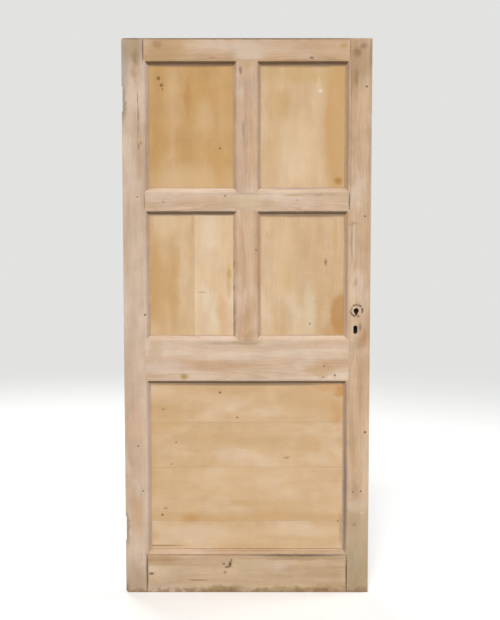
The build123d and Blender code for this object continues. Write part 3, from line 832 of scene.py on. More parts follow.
def end_geometry(tree: bpy.types.NodeTree, geometry: bpy.types.NodeSocket, finish: bpy.types.NodeSocket) -> None:
    """Ends a geometry tree with real geometry in its finish.

    Args:
        tree: the geometry tree.
        geometry: the geometry, which may be instances.
        finish: the material.
    """
    whole = add_node(tree, "GeometryNodeRealizeInstances", {"Geometry": geometry})
    dressed = add_node(tree, "GeometryNodeSetMaterial", {"Geometry": whole.outputs[0], "Material": finish})
    add_node(tree, "NodeGroupOutput", {"Geometry": dressed.outputs[0]})


class WornSurface:
    """The geometry nodes that hollow a timber's faces a little and nibble its corners."""

    corner_angles = (0.35, 0.9)      # radians at which an edge starts to wear, and wears in full
    bite_levels = (0.42, 0.72)       # noise at which a bite starts, and is full

    def __init__(self) -> None:
        """Builds the tree once, for every timber."""
        self.tree, given = geometry_tree(
            "worn_surface", ("Hollow depth", "Hollow length", "Corner wear", "Corner length", "Seed"))
        position = add_node(self.tree, "GeometryNodeInputPosition").outputs[0]
        normal = add_node(self.tree, "GeometryNodeInputNormal").outputs[0]
        total = add_node(self.tree, "ShaderNodeVectorMath",
                         {0: self._sunk(given, position, normal), 1: self._eased(given, position, normal)},
                         operation="ADD").outputs[0]
        moved = add_node(self.tree, "GeometryNodeSetPosition", {"Geometry": given["Geometry"], "Offset": total})
        end_geometry(self.tree, moved.outputs[0], given["Finish"])

    def _noise(self, given: bpy.types.NodeOutputs, position, length: str, detail: float) -> bpy.types.NodeSocket:
        """Noise over the timber, from the tree's own seed.

        Args:
            given: the group's input sockets.
            position: each vertex's place.
            length: the input that gives the size of a feature.
            detail: octaves.

        Returns:
            A value around 0.5.
        """
        scale = add_node(self.tree, "ShaderNodeMath", {0: 1.0, 1: given[length]}, operation="DIVIDE").outputs[0]
        return add_node(self.tree, "ShaderNodeTexNoise",
                        {"Vector": position, "W": given["Seed"], "Scale": scale, "Detail": detail},
                        noise_dimensions="4D").outputs[0]

    def _sunk(self, given: bpy.types.NodeOutputs, position, normal) -> bpy.types.NodeSocket:
        """How the two faces are hollowed.

        Args:
            given: the group's input sockets.
            position: each vertex's place.
            normal: its normal.

        Returns:
            The offset, through the leaf's thickness only.
        """
        tree = self.tree
        facing = add_node(tree, "ShaderNodeSeparateXYZ", {0: normal}).outputs["Y"]
        square_on = add_node(tree, "ShaderNodeMath", {0: facing}, operation="ABSOLUTE").outputs[0]
        swell = self._noise(given, position, "Hollow length", 1.0)
        inward = add_node(tree, "ShaderNodeMath", {0: swell, 1: facing}, operation="MULTIPLY").outputs[0]
        hollow = add_node(tree, "ShaderNodeMath", {0: inward, 1: square_on}, operation="MULTIPLY").outputs[0]
        deep = add_node(tree, "ShaderNodeMath", {0: hollow, 1: given["Hollow depth"]}, operation="MULTIPLY").outputs[0]
        back = add_node(tree, "ShaderNodeMath", {0: deep, 1: -1.0}, operation="MULTIPLY").outputs[0]
        return add_node(tree, "ShaderNodeCombineXYZ", {"Y": back}).outputs[0]

    def _eased(self, given: bpy.types.NodeOutputs, position, normal) -> bpy.types.NodeSocket:
        """How the corners are worn back.

        Args:
            given: the group's input sockets.
            position: each vertex's place.
            normal: its normal.

        Returns:
            The offset, inwards along the normal.
        """
        tree = self.tree
        angle = add_node(tree, "GeometryNodeInputMeshEdgeAngle").outputs["Unsigned Angle"]
        bites = self._noise(given, position, "Corner length", 3.0)
        corner, bitten = (
            add_node(tree, "ShaderNodeMapRange", {"Value": value, "From Min": least, "From Max": most}).outputs[0]
            for value, (least, most) in ((angle, self.corner_angles), (bites, self.bite_levels)))
        worn = add_node(tree, "ShaderNodeMath", {0: corner, 1: bitten}, operation="MULTIPLY").outputs[0]
        bite = add_node(tree, "ShaderNodeMath", {0: worn, 1: given["Corner wear"]}, operation="MULTIPLY").outputs[0]
        off = add_node(tree, "ShaderNodeMath", {0: bite, 1: -1.0}, operation="MULTIPLY").outputs[0]
        return add_node(tree, "ShaderNodeVectorMath", {0: normal, "Scale": off}, operation="SCALE").outputs[0]


def baked_by_nodes(piece: bpy.types.Object, tree: bpy.types.NodeTree, values: dict) -> None:
    """Runs a geometry tree over an object once and keeps the result as its plain mesh.

    Args:
        piece: the object, whose mesh is replaced.
        tree: the geometry tree.
        values: the tree's inputs, by name.
    """
    modifier = piece.modifiers.new(tree.name, "NODES")
    modifier.node_group = tree
    for item in tree.interface.items_tree:
        if item.item_type == "SOCKET" and item.in_out == "INPUT" and item.name in values:
            modifier[item.identifier] = values[item.name]
    depsgraph = bpy.context.evaluated_depsgraph_get()
    mesh = bpy.data.meshes.new_from_object(piece.evaluated_get(depsgraph), depsgraph=depsgraph)
    piece.modifiers.clear()
    piece.data = mesh
    mesh.name = piece.name


def merged_copy(node: str) -> bmesh.types.BMesh:
    """A copy of a frame piece's mesh, with its loose triangles joined up and its flat faces made whole.

    Args:
        node: the frame piece's name.

    Returns:
        The copy, for the caller to free.
    """
    copy = bmesh.new()
    copy.from_mesh(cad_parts[node].data)
    bmesh.ops.remove_doubles(copy, verts=copy.verts, dist=WELD)
    bmesh.ops.dissolve_limit(copy, angle_limit=math.radians(FLAT), verts=copy.verts, edges=copy.edges)
    return copy


def object_from(copy: bmesh.types.BMesh, name: str, sharp_angle: float = 32.0) -> bpy.types.Object:
    """Makes an object in the scene of a bmesh, smooth but for its sharp edges, and frees the bmesh.

    Args:
        copy: the mesh.
        name: the object's name.
        sharp_angle: the least angle of an edge that stays sharp, in degrees.

    Returns:
        The new object.
    """
    mesh = bpy.data.meshes.new(name)
    copy.to_mesh(mesh)
    copy.free()
    for layer in ("custom_normal", "sharp_face", "sharp_edge"):
        if layer in mesh.attributes:
            mesh.attributes.remove(mesh.attributes[layer])
    mesh.shade_smooth()
    mesh.set_sharp_from_angle(angle=math.radians(sharp_angle))
    return in_scene(name, mesh)


MOULDING = StuckMoulding()


@dataclass
class Timber:
    """One timber of the leaf: its frame piece, cut fine enough to carry its hollows and worn corners."""

    node: str
    finish: Pine
    pitch: float = 10.0              # mm between the cuts
    hollow_depth: float = 0.7        # mm
    hollow_length: float = 130.0     # mm
    corner_wear: float = 0.7         # mm
    corner_length: float = 16.0      # mm
    slot: str = "pine_framing"

    def build(self, wear: WornSurface) -> bpy.types.Object:
        """Builds the worn timber in place of its frame piece, and never past the piece's own box.

        Args:
            wear: the geometry nodes that wear it.

        Returns:
            The finished object, riding on the leaf.
        """
        copy = merged_copy(self.node)
        self._cut(copy)
        MOULDING.shape(copy)
        Settling().shape(copy)
        piece = object_from(copy, f"{self.node}_worn")
        values = {
            "Hollow depth": self.hollow_depth * MM, "Hollow length": self.hollow_length * MM,
            "Corner wear": self.corner_wear * MM, "Corner length": self.corner_length * MM,
            "Seed": self.finish.seed, "Finish": self.finish.build(),
        }
        baked_by_nodes(piece, wear.tree, values)
        low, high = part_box(self.node)
        for vertex in piece.data.vertices:
            vertex.co = [min(max(value, least), most) for value, least, most in zip(vertex.co, low, high)]
        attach(piece, "leaf")
        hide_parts(self.node)
        log.info("%s: %d faces", piece.name, len(piece.data.polygons))
        return piece

    def _cut(self, copy: bmesh.types.BMesh) -> None:
        """Cuts the mesh by level and by upright planes, at the pitch and at the moulding's own cuts.

        Args:
            copy: the mesh, cut in place.
        """
        low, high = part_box(self.node)
        for axis in (0, 2):
            steps = max(1, round((high[axis] - low[axis]) / (self.pitch * MM)))
            places = [low[axis] + (high[axis] - low[axis]) * step / steps for step in range(1, steps)]
            places += [place * MM for place in MOULDING.planes(axis)
                       if low[axis] + CUT_MARGIN < place * MM < high[axis] - CUT_MARGIN]
            for place in places:
                point, facing = Vector((0, 0, 0)), Vector((0, 0, 0))
                point[axis], facing[axis] = place, 1
                everything = copy.verts[:] + copy.edges[:] + copy.faces[:]
                bmesh.ops.bisect_plane(copy, geom=everything, dist=CUT_WELD, plane_co=point, plane_no=facing)


class NailTree:
    """The geometry nodes that set a cut nail's head on every point."""

    def __init__(self, sides: int) -> None:
        """Builds the tree.

        Args:
            sides: how many sides a head has.
        """
        self.tree, given = geometry_tree("nail_heads", ("Head radius", "Head depth", "Unevenness"))
        points = add_node(self.tree, "GeometryNodeMeshToPoints", {"Mesh": given["Geometry"]}).outputs[0]
        head = add_node(self.tree, "GeometryNodeMeshCylinder",
                        {"Vertices": sides, "Radius": given["Head radius"],
                         "Depth": given["Head depth"]}).outputs["Mesh"]
        across = [add_node(self.tree, "ShaderNodeMath", {0: 1.0, 1: given["Unevenness"]},
                           operation=operation).outputs[0] for operation in ("SUBTRACT", "ADD")]
        least, most = (add_node(self.tree, "ShaderNodeCombineXYZ", {0: limit, 1: limit, 2: 1.0}).outputs[0]
                       for limit in across)
        size = add_node(self.tree, "FunctionNodeRandomValue", {0: least, 1: most, "Seed": 5},
                        data_type="FLOAT_VECTOR").outputs[0]
        spin = add_node(self.tree, "FunctionNodeRandomValue",
                        {0: (math.pi / 2, 0.0, 0.0), 1: (math.pi / 2, math.tau, 0.0), "Seed": 9},
                        data_type="FLOAT_VECTOR").outputs[0]
        placed = add_node(self.tree, "GeometryNodeInstanceOnPoints",
                          {"Points": points, "Instance": head, "Rotation": spin, "Scale": size})
        end_geometry(self.tree, placed.outputs[0], given["Finish"])


@dataclass
class NailHeads:
    """Old cut nails driven flush into the front face, in millimetres."""

    head_radius: float = 2.3
    head_depth: float = 2.4
    head_sides: int = 11
    unevenness: float = 0.22         # by which a head may be wider or narrower
    face: float = -19.0
    sunk: float = 0.02
    places: tuple[tuple[float, float], ...] = (
        (-392, 1451), (-78, 1454), (-300, 1433), (-368, 1027), (-397, 547), (-380, 380), (417, 379), (388, 376),
        (426, 1841), (423, 1382), (430, 598))

    def build(self, finish: bpy.types.Material) -> bpy.types.Object:
        """Builds the nail heads as one piece.

        Args:
            finish: the rusted iron.

        Returns:
            The finished object, riding on the leaf.
        """
        mesh = bpy.data.meshes.new("nail_heads")
        mid = self.face + self.sunk + self.head_depth / 2
        mesh.from_pydata([(x * MM, mid * MM, z * MM) for x, z in self.places], [], [])
        piece = in_scene("nail_heads", mesh)
        baked_by_nodes(piece, NailTree(self.head_sides).tree, {
            "Head radius": self.head_radius * MM, "Head depth": self.head_depth * MM,
            "Unevenness": self.unevenness, "Finish": finish})
        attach(piece, "leaf")
        log.info("nail heads: %d", len(self.places))
        return piece


@dataclass
class Hardware:
    """One metal part of the lock: its frame piece with its edges broken, in its finish."""

    node: str
    body: str
    finish: bpy.types.Material
    slot: str
    edge_break: float = 0.2          # mm
    edge_angle: float = 50.0         # degrees, the least angle of an edge that is broken
    sharp_angle: float = 40.0        # degrees, the least angle of an edge that stays sharp

    def build(self) -> bpy.types.Object:
        """Builds the part in place of its frame piece.

        Returns:
            The finished object, riding on its body.
        """
        piece = object_from(merged_copy(self.node), f"{self.node}_finished", self.sharp_angle)
        bevel = piece.modifiers.new("edge break", "BEVEL")
        bevel.width = self.edge_break * MM
        bevel.segments = 2
        bevel.limit_method = "ANGLE"
        bevel.angle_limit = math.radians(self.edge_angle)
        piece.data.materials.clear()
        piece.data.materials.append(self.finish)
        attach(piece, self.body)
        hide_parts(self.node)
        log.info("%s on %s", piece.name, self.body)
        return piece


@dataclass
class Leaf:
    """The timbers of the door leaf: stiles, rails, muntins, panels and wedges."""

    wear: WornSurface = field(default_factory=WornSurface)

    def build(self) -> None:
        """Builds every timber."""
        for timber in self.framing() + self.panels() + self.wedges():
            timber.build(self.wear)

    def framing(self) -> list[Timber]:
        """The stiles, rails and muntins."""
        return [Timber(node, finish)
                for node, finish in (self._stiles() | self._rails() | self._muntins()).items()]

    def _stiles(self) -> dict[str, Pine]:
        """The stiles' wood: its grain, knots and stains, by node."""
        return {
            "hinge_stile": Pine(
                "stripped pine, hinge stile", Grain.UPRIGHT, seed=1.0, pith_across=-330.0,
                knots=(Knot(-392, 1451, 2.4), Knot(-368, 1027, 4.0), Knot(-397, 547, 2.5), Knot(-380, 380, 3.0)),
                stains=(
                    Stain(-434, 1925, 16, 100, "a0948c"), Stain(-405, 1975, 40, 50, "a58c68", 0.65),
                    Stain(-398, 1938, 11, 24, "8d7454", softness=0.8),
                    Stain(-402, 1890, 10, 16, "9c785a", 0.5, softness=0.8),
                    # The dark line along the top arris is painted shade.
                    Stain(-405, 2008, 40, 3, "6b5a48", 0.8, ragged=4),
                    Stain(-370.4, 1972, 1.3, 44, "3f2a1a", 0.9, ragged=2),
                    Stain(-388, 1800, 2.0, 22, "8c7262", 0.7, ragged=7),
                    Stain(-387, 1745, 2.2, 30, "8c7262", 0.8, ragged=7),
                    Stain(-388, 1690, 2.0, 20, "9c7c68", 0.7, ragged=7),
                    Stain(-386, 1632, 4, 10, "9b7654", 0.7, ragged=8), Stain(-377, 1642, 4, 6, "9b7654", ragged=6),
                    Stain(-396, 640, 14, 90, "d9b193", 0.5), Stain(-402, 290, 22, 70, "cba27c", 0.5),
                    Stain(-370.4, 70, 1.6, 72, "54432c", 0.85, ragged=3), Stain(-440, 1780, 9, 60, "8b7760"),
                    Stain(-440, 240, 9, 60, "8b7760"), Stain(-410, 30, 60, 80, "a48966"),
                    Stain(-357, 69, 5, 3.5, "5a4330", 0.8, ragged=4), Stain(-445, 10, 16, 24, "7d6a52", 0.7))),
            "lock_stile": Pine(
                "stripped pine, lock stile", Grain.UPRIGHT, seed=2.0, pith_across=372.0, pale="d8bb9c", warm="bf9c78",
                knots=(
                    Knot(426, 1841, 3.5), Knot(423, 1382, 3.0), Knot(430, 598, 4.5), Knot(417, 379, 3.2),
                    Knot(388, 376, 2.2)),
                stains=(
                    Stain(405, 1930, 45, 70, "a58662"), Stain(392, 1960, 13, 15, "8a6743", 0.65, ragged=14),
                    Stain(414, 1982, 12, 9, "8a6a4a", ragged=12), Stain(388, 1872, 8, 30, "96703f", ragged=14),
                    # The grey-violet strip on the moulding at x 360 is painted shade.
                    Stain(372, 1850, 3, 46, "8c7358", ragged=8), Stain(360, 1700, 5, 250, "9c8476", 0.5, ragged=10),
                    Stain(371, 1600, 1.6, 300, "9b7f6c", 0.5, ragged=4),
                    # The grey-violet strip on the moulding at x 360 is painted shade.
                    Stain(360, 1150, 4, 200, "a08674", 0.45, ragged=8), Stain(377, 1280, 2.2, 70, "8f7a6c", ragged=7),
                    Stain(385, 1300, 4, 80, "dfcab2", 0.5, ragged=7),
                    Stain(379, 1352, 14, 6, "98795a", 0.5, softness=0.8),
                    Stain(391, 1146, 6, 14, "9c7c5e", 0.5, softness=0.8, ragged=24),
                    Stain(391, 253, 8, 6, "8a6a48", 0.7, softness=0.8, ragged=30),
                    Stain(440, 1960, 5, 50, "8c6f50", 0.5, ragged=10),
                    Stain(398, 326, 30, 24, "dcc6ae", 0.55, softness=0.5, ragged=50),
                    Stain(422, 299, 3, 3, "efe2d2", 0.8, ragged=2),
                    Stain(400, 979, 12, 10, "bba7a2", 0.75, ragged=10),
                    Stain(409, 982, 5, 12, "8a6444", 0.7, ragged=8), Stain(424, 945, 8, 30, "b57a55", ragged=14),
                    Stain(405, 925, 22, 22, "a48a63", 0.45), Stain(405, 150, 50, 160, "a89878", 0.5),
                    Stain(432, 8, 18, 14, "8a5a42", 0.55), Stain(405, 60, 60, 90, "9a8a68", 0.4),
                    # The grey-violet strips on the moulding at x 358 to 359 are painted shade.
                    Stain(440, 1500, 7, 300, "b59a80", 0.4), Stain(359, 350, 7, 220, "7f6c66", 0.75, ragged=8),
                    Stain(358, 640, 6, 120, "9d8678", 0.5, ragged=8)),
                marks=(RingMark(396, 1043, 21.5, 6.5, "5f4230", 0.95),)),
        }

    def _rails(self) -> dict[str, Pine]:
        """The rails' wood, by node."""
        return {
            "top_rail": Pine(
                "stripped pine, top rail", Grain.LEVEL, seed=3.0, pith_across=1930.0, pale="d2b393", warm="bb966c",
                stains=(
                    Stain(-318, 1988, 17, 12, "8f6b47", 0.75, ragged=20), Stain(-300, 1965, 80, 40, "ba9362", 0.65),
                    Stain(-56, 1962, 22, 22, "a98e5e", ragged=20), Stain(-85, 1985, 90, 18, "dcc3ae", 0.5),
                    # The dark line at 2010 mm along the top arris is painted shade.
                    Stain(0, 1965, 60, 35, "dac4ae"), Stain(0, 2010, 450, 5, "83684a", 0.7, ragged=6),
                    Stain(-368, 1972, 1.6, 44, "3f2a1a", 0.85, ragged=2),
                    Stain(368, 1972, 2.0, 44, "6a4c30", 0.75, ragged=2), Stain(342, 1985, 14, 10, "b0914f"),
                    Stain(230, 1941, 6, 4, "6d4b33", 0.8, ragged=6),
                    # The dark line at 2008 mm along the top arris is painted shade.
                    Stain(-120, 1940, 20, 3, "a4694a", 0.5, ragged=6), Stain(0, 2008, 450, 3, "6e563e", ragged=3),
                    Stain(60, 1975, 130, 20, "d0b79e", 0.45))),
            "cross_rail": Pine(
                "stripped pine, cross rail", Grain.LEVEL, seed=4.0, pith_across=1400.0, pale="dcc3aa", warm="c7a584",
                knots=(Knot(-78, 1454, 2.6), Knot(-300, 1433, 2.4), Knot(180, 1440, 2.2)),
                stains=(
                    Stain(-200, 1478, 120, 6, "ead6bd", ragged=8), Stain(165, 1480, 90, 2.0, "8e8894", 0.7, ragged=4),
                    Stain(168, 1458, 34, 3.5, "b08a50", ragged=6),
                    Stain(258, 1458, 22, 3.5, "b08a50", 0.45, ragged=6), Stain(0, 1434, 46, 30, "d2bd9c"),
                    Stain(367.5, 1434, 3, 34, "5f4430", 0.85, ragged=4),
                    Stain(-367.5, 1434, 2.4, 34, "8a6a4a", ragged=3))),
            "lock_rail": Pine(
                "stripped pine, lock rail", Grain.LEVEL, seed=5.0, pith_across=800.0, pale="e0c8b0", warm="cba888",
                knots=(Knot(279, 840, 3.4), Knot(319, 807, 4.0), Knot(276, 800, 3.0)),
                stains=(
                    Stain(-228, 803, 13, 9, "a08c46", 0.8, ragged=14),
                    Stain(262, 830, 46, 28, "bf9a68", softness=0.5, ragged=70),
                    Stain(-90, 925, 60, 6, "a98a70", 0.5, ragged=12), Stain(0, 925, 46, 7, "a07e58", 0.55, ragged=14),
                    Stain(-300, 840, 80, 22, "e2ccbc", 0.5), Stain(-330, 900, 24, 40, "c9a98a", 0.5))),
            "bottom_rail": Pine(
                "stripped pine, bottom rail", Grain.LEVEL, seed=6.0, pith_across=150.0, pale="cfb392", warm="b4926c",
                cloud=0.4,
                stains=(
                    Stain(-62, 106, 5, 10, "4f3522", 0.9, ragged=12), Stain(-71, 96, 9, 4, "5c4028", 0.8, ragged=12),
                    Stain(-85, 108, 6, 3, "5c4028", 0.8, ragged=8), Stain(-57, 120, 3, 6, "5c4028", 0.7, ragged=6),
                    Stain(-81, 74, 5, 5, "7a5a3c", ragged=8), Stain(-367, 70, 3.4, 74, "54432c", 0.9, ragged=3),
                    Stain(366.5, 70, 4, 74, "5c4630", 0.9, ragged=3), Stain(-352, 70, 9, 5, "5a4330", 0.8, ragged=6),
                    Stain(-90, 10, 70, 14, "8a6a3c", 0.65), Stain(180, 8, 140, 12, "8f7346", 0.5),
                    Stain(-180, 46, 36, 3, "86684a", ragged=5), Stain(180, 139, 162, 4, "4a3220", 0.85, ragged=6),
                    Stain(190, 128, 140, 8, "8f7244", 0.5, ragged=12),
                    Stain(-190, 141, 176, 2, "8a5c36", 0.7, ragged=4), Stain(20, 158, 140, 5, "a8713d", ragged=8),
                    Stain(-260, 152, 80, 8, "d7b69a"))),
        }

    def _muntins(self) -> dict[str, Pine]:
        """The muntins' wood, by node."""
        return {
            "upper_muntin": Pine(
                "stripped pine, upper muntin", Grain.UPRIGHT, seed=7.0, pith_across=44.0, pale="d6bca2",
                warm="c3a082",
                stains=(
                    Stain(-22, 1898, 6, 14, "86644a", 0.7, ragged=10), Stain(0, 1925, 24, 14, "c19e6c", 0.5),
                    Stain(-12, 1690, 5, 30, "a98a70", ragged=8), Stain(24, 1600, 8, 160, "d9b184", 0.5))),
            "middle_muntin": Pine(
                "stripped pine, middle muntin", Grain.UPRIGHT, seed=8.0, pith_across=-40.0, pale="dcc0a2",
                warm="c9a582",
                knots=(Knot(33, 1261, 3.0),),
                stains=(
                    Stain(-46, 1210, 2.5, 14, "6a5648", 0.75, ragged=6),
                    Stain(-46, 1125, 2.5, 10, "6a5648", 0.75, ragged=6),
                    Stain(-46, 1045, 2.5, 26, "6a5648", 0.8, ragged=6),
                    Stain(-45, 985, 3, 40, "6a5648", 0.7, ragged=6),
                    Stain(8, 948, 24, 14, "b08654", 0.45, softness=0.9, ragged=50))),
        }

    def panels(self) -> list[Timber]:
        """The panels, whole or of boards."""
        return [Timber(node, finish, corner_wear=0.4, slot="pine_panels")
                for node, finish in (self._upper_panels() | self._lower_boards()).items()]

    def _upper_panels(self) -> dict[str, Pine]:
        """The wood of the two upper and two middle panels, by node."""
        amber = {"cloud": 0.35, "pale": "d0a874", "warm": "c0955b", "late": "9f6c36", "bleached": "dcbc95",
                 "ring_show": 0.15, "calm": 1.9}
        fair = {"cloud": 0.45, "pale": "dcbf9b", "warm": "cda87b", "late": "a97c4c", "bleached": "ead3b8",
                "ring_show": 0.15, "calm": 1.8}
        return {
            "upper_left_panel": Pine(
                "stripped pine, upper left panel", Grain.UPRIGHT, seed=11.0, pith_across=-420.0, **amber,
                knots=(Knot(-315, 1871, 6.5), Knot(-305, 1847, 6.0), Knot(-301, 1833, 3.0), Knot(-96, 1624, 4.0)),
                stains=(
                    # The dark band along the panel's top edge, under the rail, is painted shadow.
                    Stain(-200, 1914, 170, 4, "86643f", 0.55, ragged=3), Stain(-200, 1500, 150, 60, "dcb98e"),
                    Stain(-170, 1800, 70, 60, "c79a5c", 0.5), Stain(-150, 1740, 30, 60, "d5b285"),
                    Stain(-212, 1800, 12, 60, "b98149", 0.5), Stain(-100, 1560, 26, 80, "c99c5c", 0.5))),
            "upper_right_panel": Pine(
                "stripped pine, upper right panel", Grain.UPRIGHT, seed=12.0, pith_across=60.0, **fair,
                stains=(
                    # The dark band along the panel's top edge, under the rail, is painted shadow.
                    Stain(200, 1914, 170, 5, "7a5c40", 0.65, ragged=3),
                    Stain(330, 1700, 52, 260, "c99a5e", 0.7, softness=0.3, ragged=12),
                    Stain(200, 1890, 160, 34, "c9a468", 0.5), Stain(125, 1790, 30, 60, "c79c5c", 0.55),
                    Stain(262, 1828, 7, 6, "f0dfc6", 0.8, ragged=6),
                    Stain(256, 1850, 9, 26, "dfc49c", 0.5, ragged=10), Stain(290, 1720, 8, 90, "cf9c66", 0.45),
                    Stain(326, 1507, 13, 12, "a8742f", 0.7, ragged=20), Stain(190, 1600, 70, 120, "e8cba6", 0.5),
                    Stain(90, 1650, 30, 200, "d6b184", 0.5))),
            "middle_right_panel": Pine(
                "stripped pine, middle right panel", Grain.UPRIGHT, seed=13.0, pith_across=90.0, **fair,
                knots=(Knot(284, 1217, 3.0), Knot(228, 993, 3.2)),
                stains=(
                    # The dark band along the panel's top edge, under the rail, is painted shadow.
                    Stain(200, 1383, 170, 5, "80644a", ragged=3),
                    Stain(338, 1030, 34, 78, "b78346", 0.75, softness=0.3, ragged=46),
                    Stain(322, 975, 48, 34, "bf8b4e", 0.5, softness=0.5, ragged=50),
                    Stain(318, 1300, 9, 80, "cba066", 0.55, ragged=12),
                    Stain(226, 1050, 20, 90, "dfd0b0", 0.5, softness=0.7, ragged=50),
                    Stain(140, 1165, 34, 55, "d3b07c", 0.5), Stain(284, 1217, 6, 13, "9c7448", ragged=8),
                    Stain(120, 1250, 30, 120, "e2c29c", 0.4))),
            "middle_left_outer_board": Pine(
                "stripped pine, outer board", Grain.UPRIGHT, seed=14.0, pith_across=-400.0, pale="ddbe96",
                warm="cba270", late="a37440", bleached="e3c8a4", ring_show=0.16, calm=1.8,
                stains=(
                    # The dark band along the board's top edge, under the rail, is painted shadow.
                    Stain(-300, 1384, 80, 3, "9a7a58", 0.45, ragged=3), Stain(-300, 1370, 56, 60, "dfc39e"),
                    Stain(-325, 1130, 34, 150, "c4975a"), Stain(-262, 1130, 18, 150, "c69c64", 0.45),
                    Stain(-354, 1150, 5, 200, "dec299", 0.5), Stain(-345, 1340, 6, 60, "cba368", 0.5))),
            "middle_left_inner_board": Pine(
                "stripped pine, inner board", Grain.UPRIGHT, seed=15.0, pith_across=20.0, pale="e6cba9",
                warm="d8b489", late="b08a5e", bleached="efdcc4", ring_show=0.14, calm=1.8,
                stains=(
                    Stain(-66, 1150, 9, 60, "cda26b", softness=0.5, ragged=14),
                    Stain(-64, 1176, 7, 14, "bda05f", softness=0.5, ragged=10),
                    Stain(-86, 1040, 12, 70, "d9ab7b", 0.5), Stain(-118, 990, 26, 40, "e6d0ae"),
                    Stain(-133, 1320, 24, 60, "e6d0b4"), Stain(-162, 1108, 14, 3, "b08a66", 0.5, ragged=8),
                    Stain(-90, 1395, 30, 8, "cfae6a", 0.5, ragged=14))),
        }

    def _lower_boards(self) -> dict[str, Pine]:
        """The wood of the lower panel's four boards, by node, under stains that run across them all."""
        knots = (
            Knot(-98, 742, 4.5), Knot(-36, 650, 3.6), Knot(-305, 680, 3.0), Knot(-259, 558, 3.0),
            Knot(-277, 477, 2.6), Knot(-311, 287, 4.5), Knot(334, 264, 3.0))
        stains = (
            # The dark band along the panel's top edge, under the lock rail, is painted shadow.
            Stain(0, 772, 360, 5, "7f6349", 0.65, ragged=3),
            Stain(308, 762, 58, 12, "d0a06c", softness=0.5, ragged=50),
            Stain(342, 746, 22, 16, "c08a4c", 0.75, softness=0.5, ragged=50),
            Stain(326, 662, 22, 36, "c6955c", ragged=60), Stain(250, 700, 120, 50, "cfa774", 0.4),
            Stain(0, 282, 340, 20, "c59a62", 0.5, ragged=16), Stain(-200, 225, 140, 26, "dfc5a8", 0.55),
            Stain(200, 228, 130, 22, "dfc3a2", 0.5), Stain(-205, 275, 26, 16, "c08c50", 0.5, ragged=16),
            Stain(345, 235, 6, 50, "9c8468", 0.5, softness=0.9, ragged=30),
            Stain(-320, 172, 70, 3, "8a6440", 0.7, ragged=4), Stain(-60, 420, 260, 60, "dcb98c", 0.35),
            Stain(-298, 312, 7, 3, "8c6640", ragged=8), Stain(262, 500, 44, 22, "dfc4a0", 0.5),
            Stain(146, 500, 12, 4, "a57c4e", 0.75, softness=0.7, ragged=24), Stain(-300, 640, 60, 40, "cfa572", 0.4),
            Stain(-345, 500, 12, 150, "cba06a", 0.4))
        return {
            f"lower_panel_board_{number}": Pine(
                f"stripped pine, lower board {number}", Grain.LEVEL, seed=20.0 + number, pale="dcbc96", warm="cda778",
                late="a67a4c", bleached="e6cdb0", ring_show=0.15, calm=2.0, pith_across=150.0 * number - 140,
                knots=knots, stains=stains)
            for number in range(1, 5)
        }

    def wedges(self) -> list[Timber]:
        """The tenons' wedges, in both edges of the leaf."""
        return [
            Timber(f"{side}_stile_wedges",
                   Pine(f"stripped pine, {side} wedges", Grain.LEVEL, seed=30.0 + number, pale="b98f63"),
                   hollow_depth=0.0, corner_wear=0.2, slot="pine_wedges")
            for number, side in enumerate(("hinge", "lock"))
        ]


@dataclass
class Lock:
    """The mortice lock: case, follower, latch, dead bolt, springs and screws, with the nails' heads beside it."""

    bolt_edge: float = 0.4           # mm broken off a bolt's edges
    cap_screw_edge: float = 0.08
    forend_screw_edge: float = 0.1

    def build(self) -> None:
        """Builds every part of the lock."""
        # Sand cast and japanned: a dull black skin opened by brown rust, with no highlight to speak of.
        iron = Metal("japanned cast iron", "110e0d", "1f140e", 0.0, 0.8).build()
        # Rolled, then left for years in a door's edge: a broad soft sheen under brown clouds a thumb wide.
        brass = Metal("tarnished rolled brass", "9a7d4a", "6f5632", 1.0, 0.42, patch=16.0, blend=0.5).build()
        # Cast and rubbed bright by the keep: cleaner and smoother than the plate it comes through.
        bolts = Metal("worn cast brass", "b5965a", "8b6d3e", 1.0, 0.3, patch=7.0, share=0.35, blend=0.45).build()
        # Drawn wire, blued in the furnace and oiled: dark and smooth, with a narrow highlight.
        steel = Metal("blued spring steel", "5a5753", "39291f", 1.0, 0.35).build()
        # Turned from bar and gone dull in the damp wood: grey, with brown in the slots.
        screws = Metal("turned steel screws", "6a6660", "43301f", 1.0, 0.45, patch=4.0).build()
        # Cut from plate and rusted into the wood: dark, rough and without shine.
        nails = Metal("rusted cut iron nails", "3a2c22", "5a3820", 0.3, 0.75, patch=2.0).build()
        parts = [
            Hardware("lock_case", "leaf", iron, "lock_iron"),
            Hardware("lock_cap", "leaf", iron, "lock_iron"),
            Hardware("lock_follower", "follower", iron, "lock_iron"),
            Hardware("lock_forend", "leaf", brass, "forend_brass"),
            Hardware("latch_bolt", "latch", bolts, "bolt_brass", self.bolt_edge),
            Hardware("dead_bolt", "bolt", bolts, "bolt_brass", self.bolt_edge),
            Hardware("cap_screws", "leaf", screws, "screw_steel", self.cap_screw_edge),
            Hardware("forend_screws", "leaf", screws, "screw_steel", self.forend_screw_edge),
        ]
        for part in parts:
            part.build()
        NailHeads().build(nails)
        for name in ("latch_spring", "bolt_spring"):
            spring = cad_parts[name]
            spring.data.materials.clear()
            spring.data.materials.append(steel)
            log.info("%s in %s", name, steel.name)


@dataclass(frozen=True)
class Softbox:
    """A square lamp aimed at the middle of the leaf."""

    name: str
    place: tuple[float, float, float]
    side: float                      # metres
    power: float                     # watts


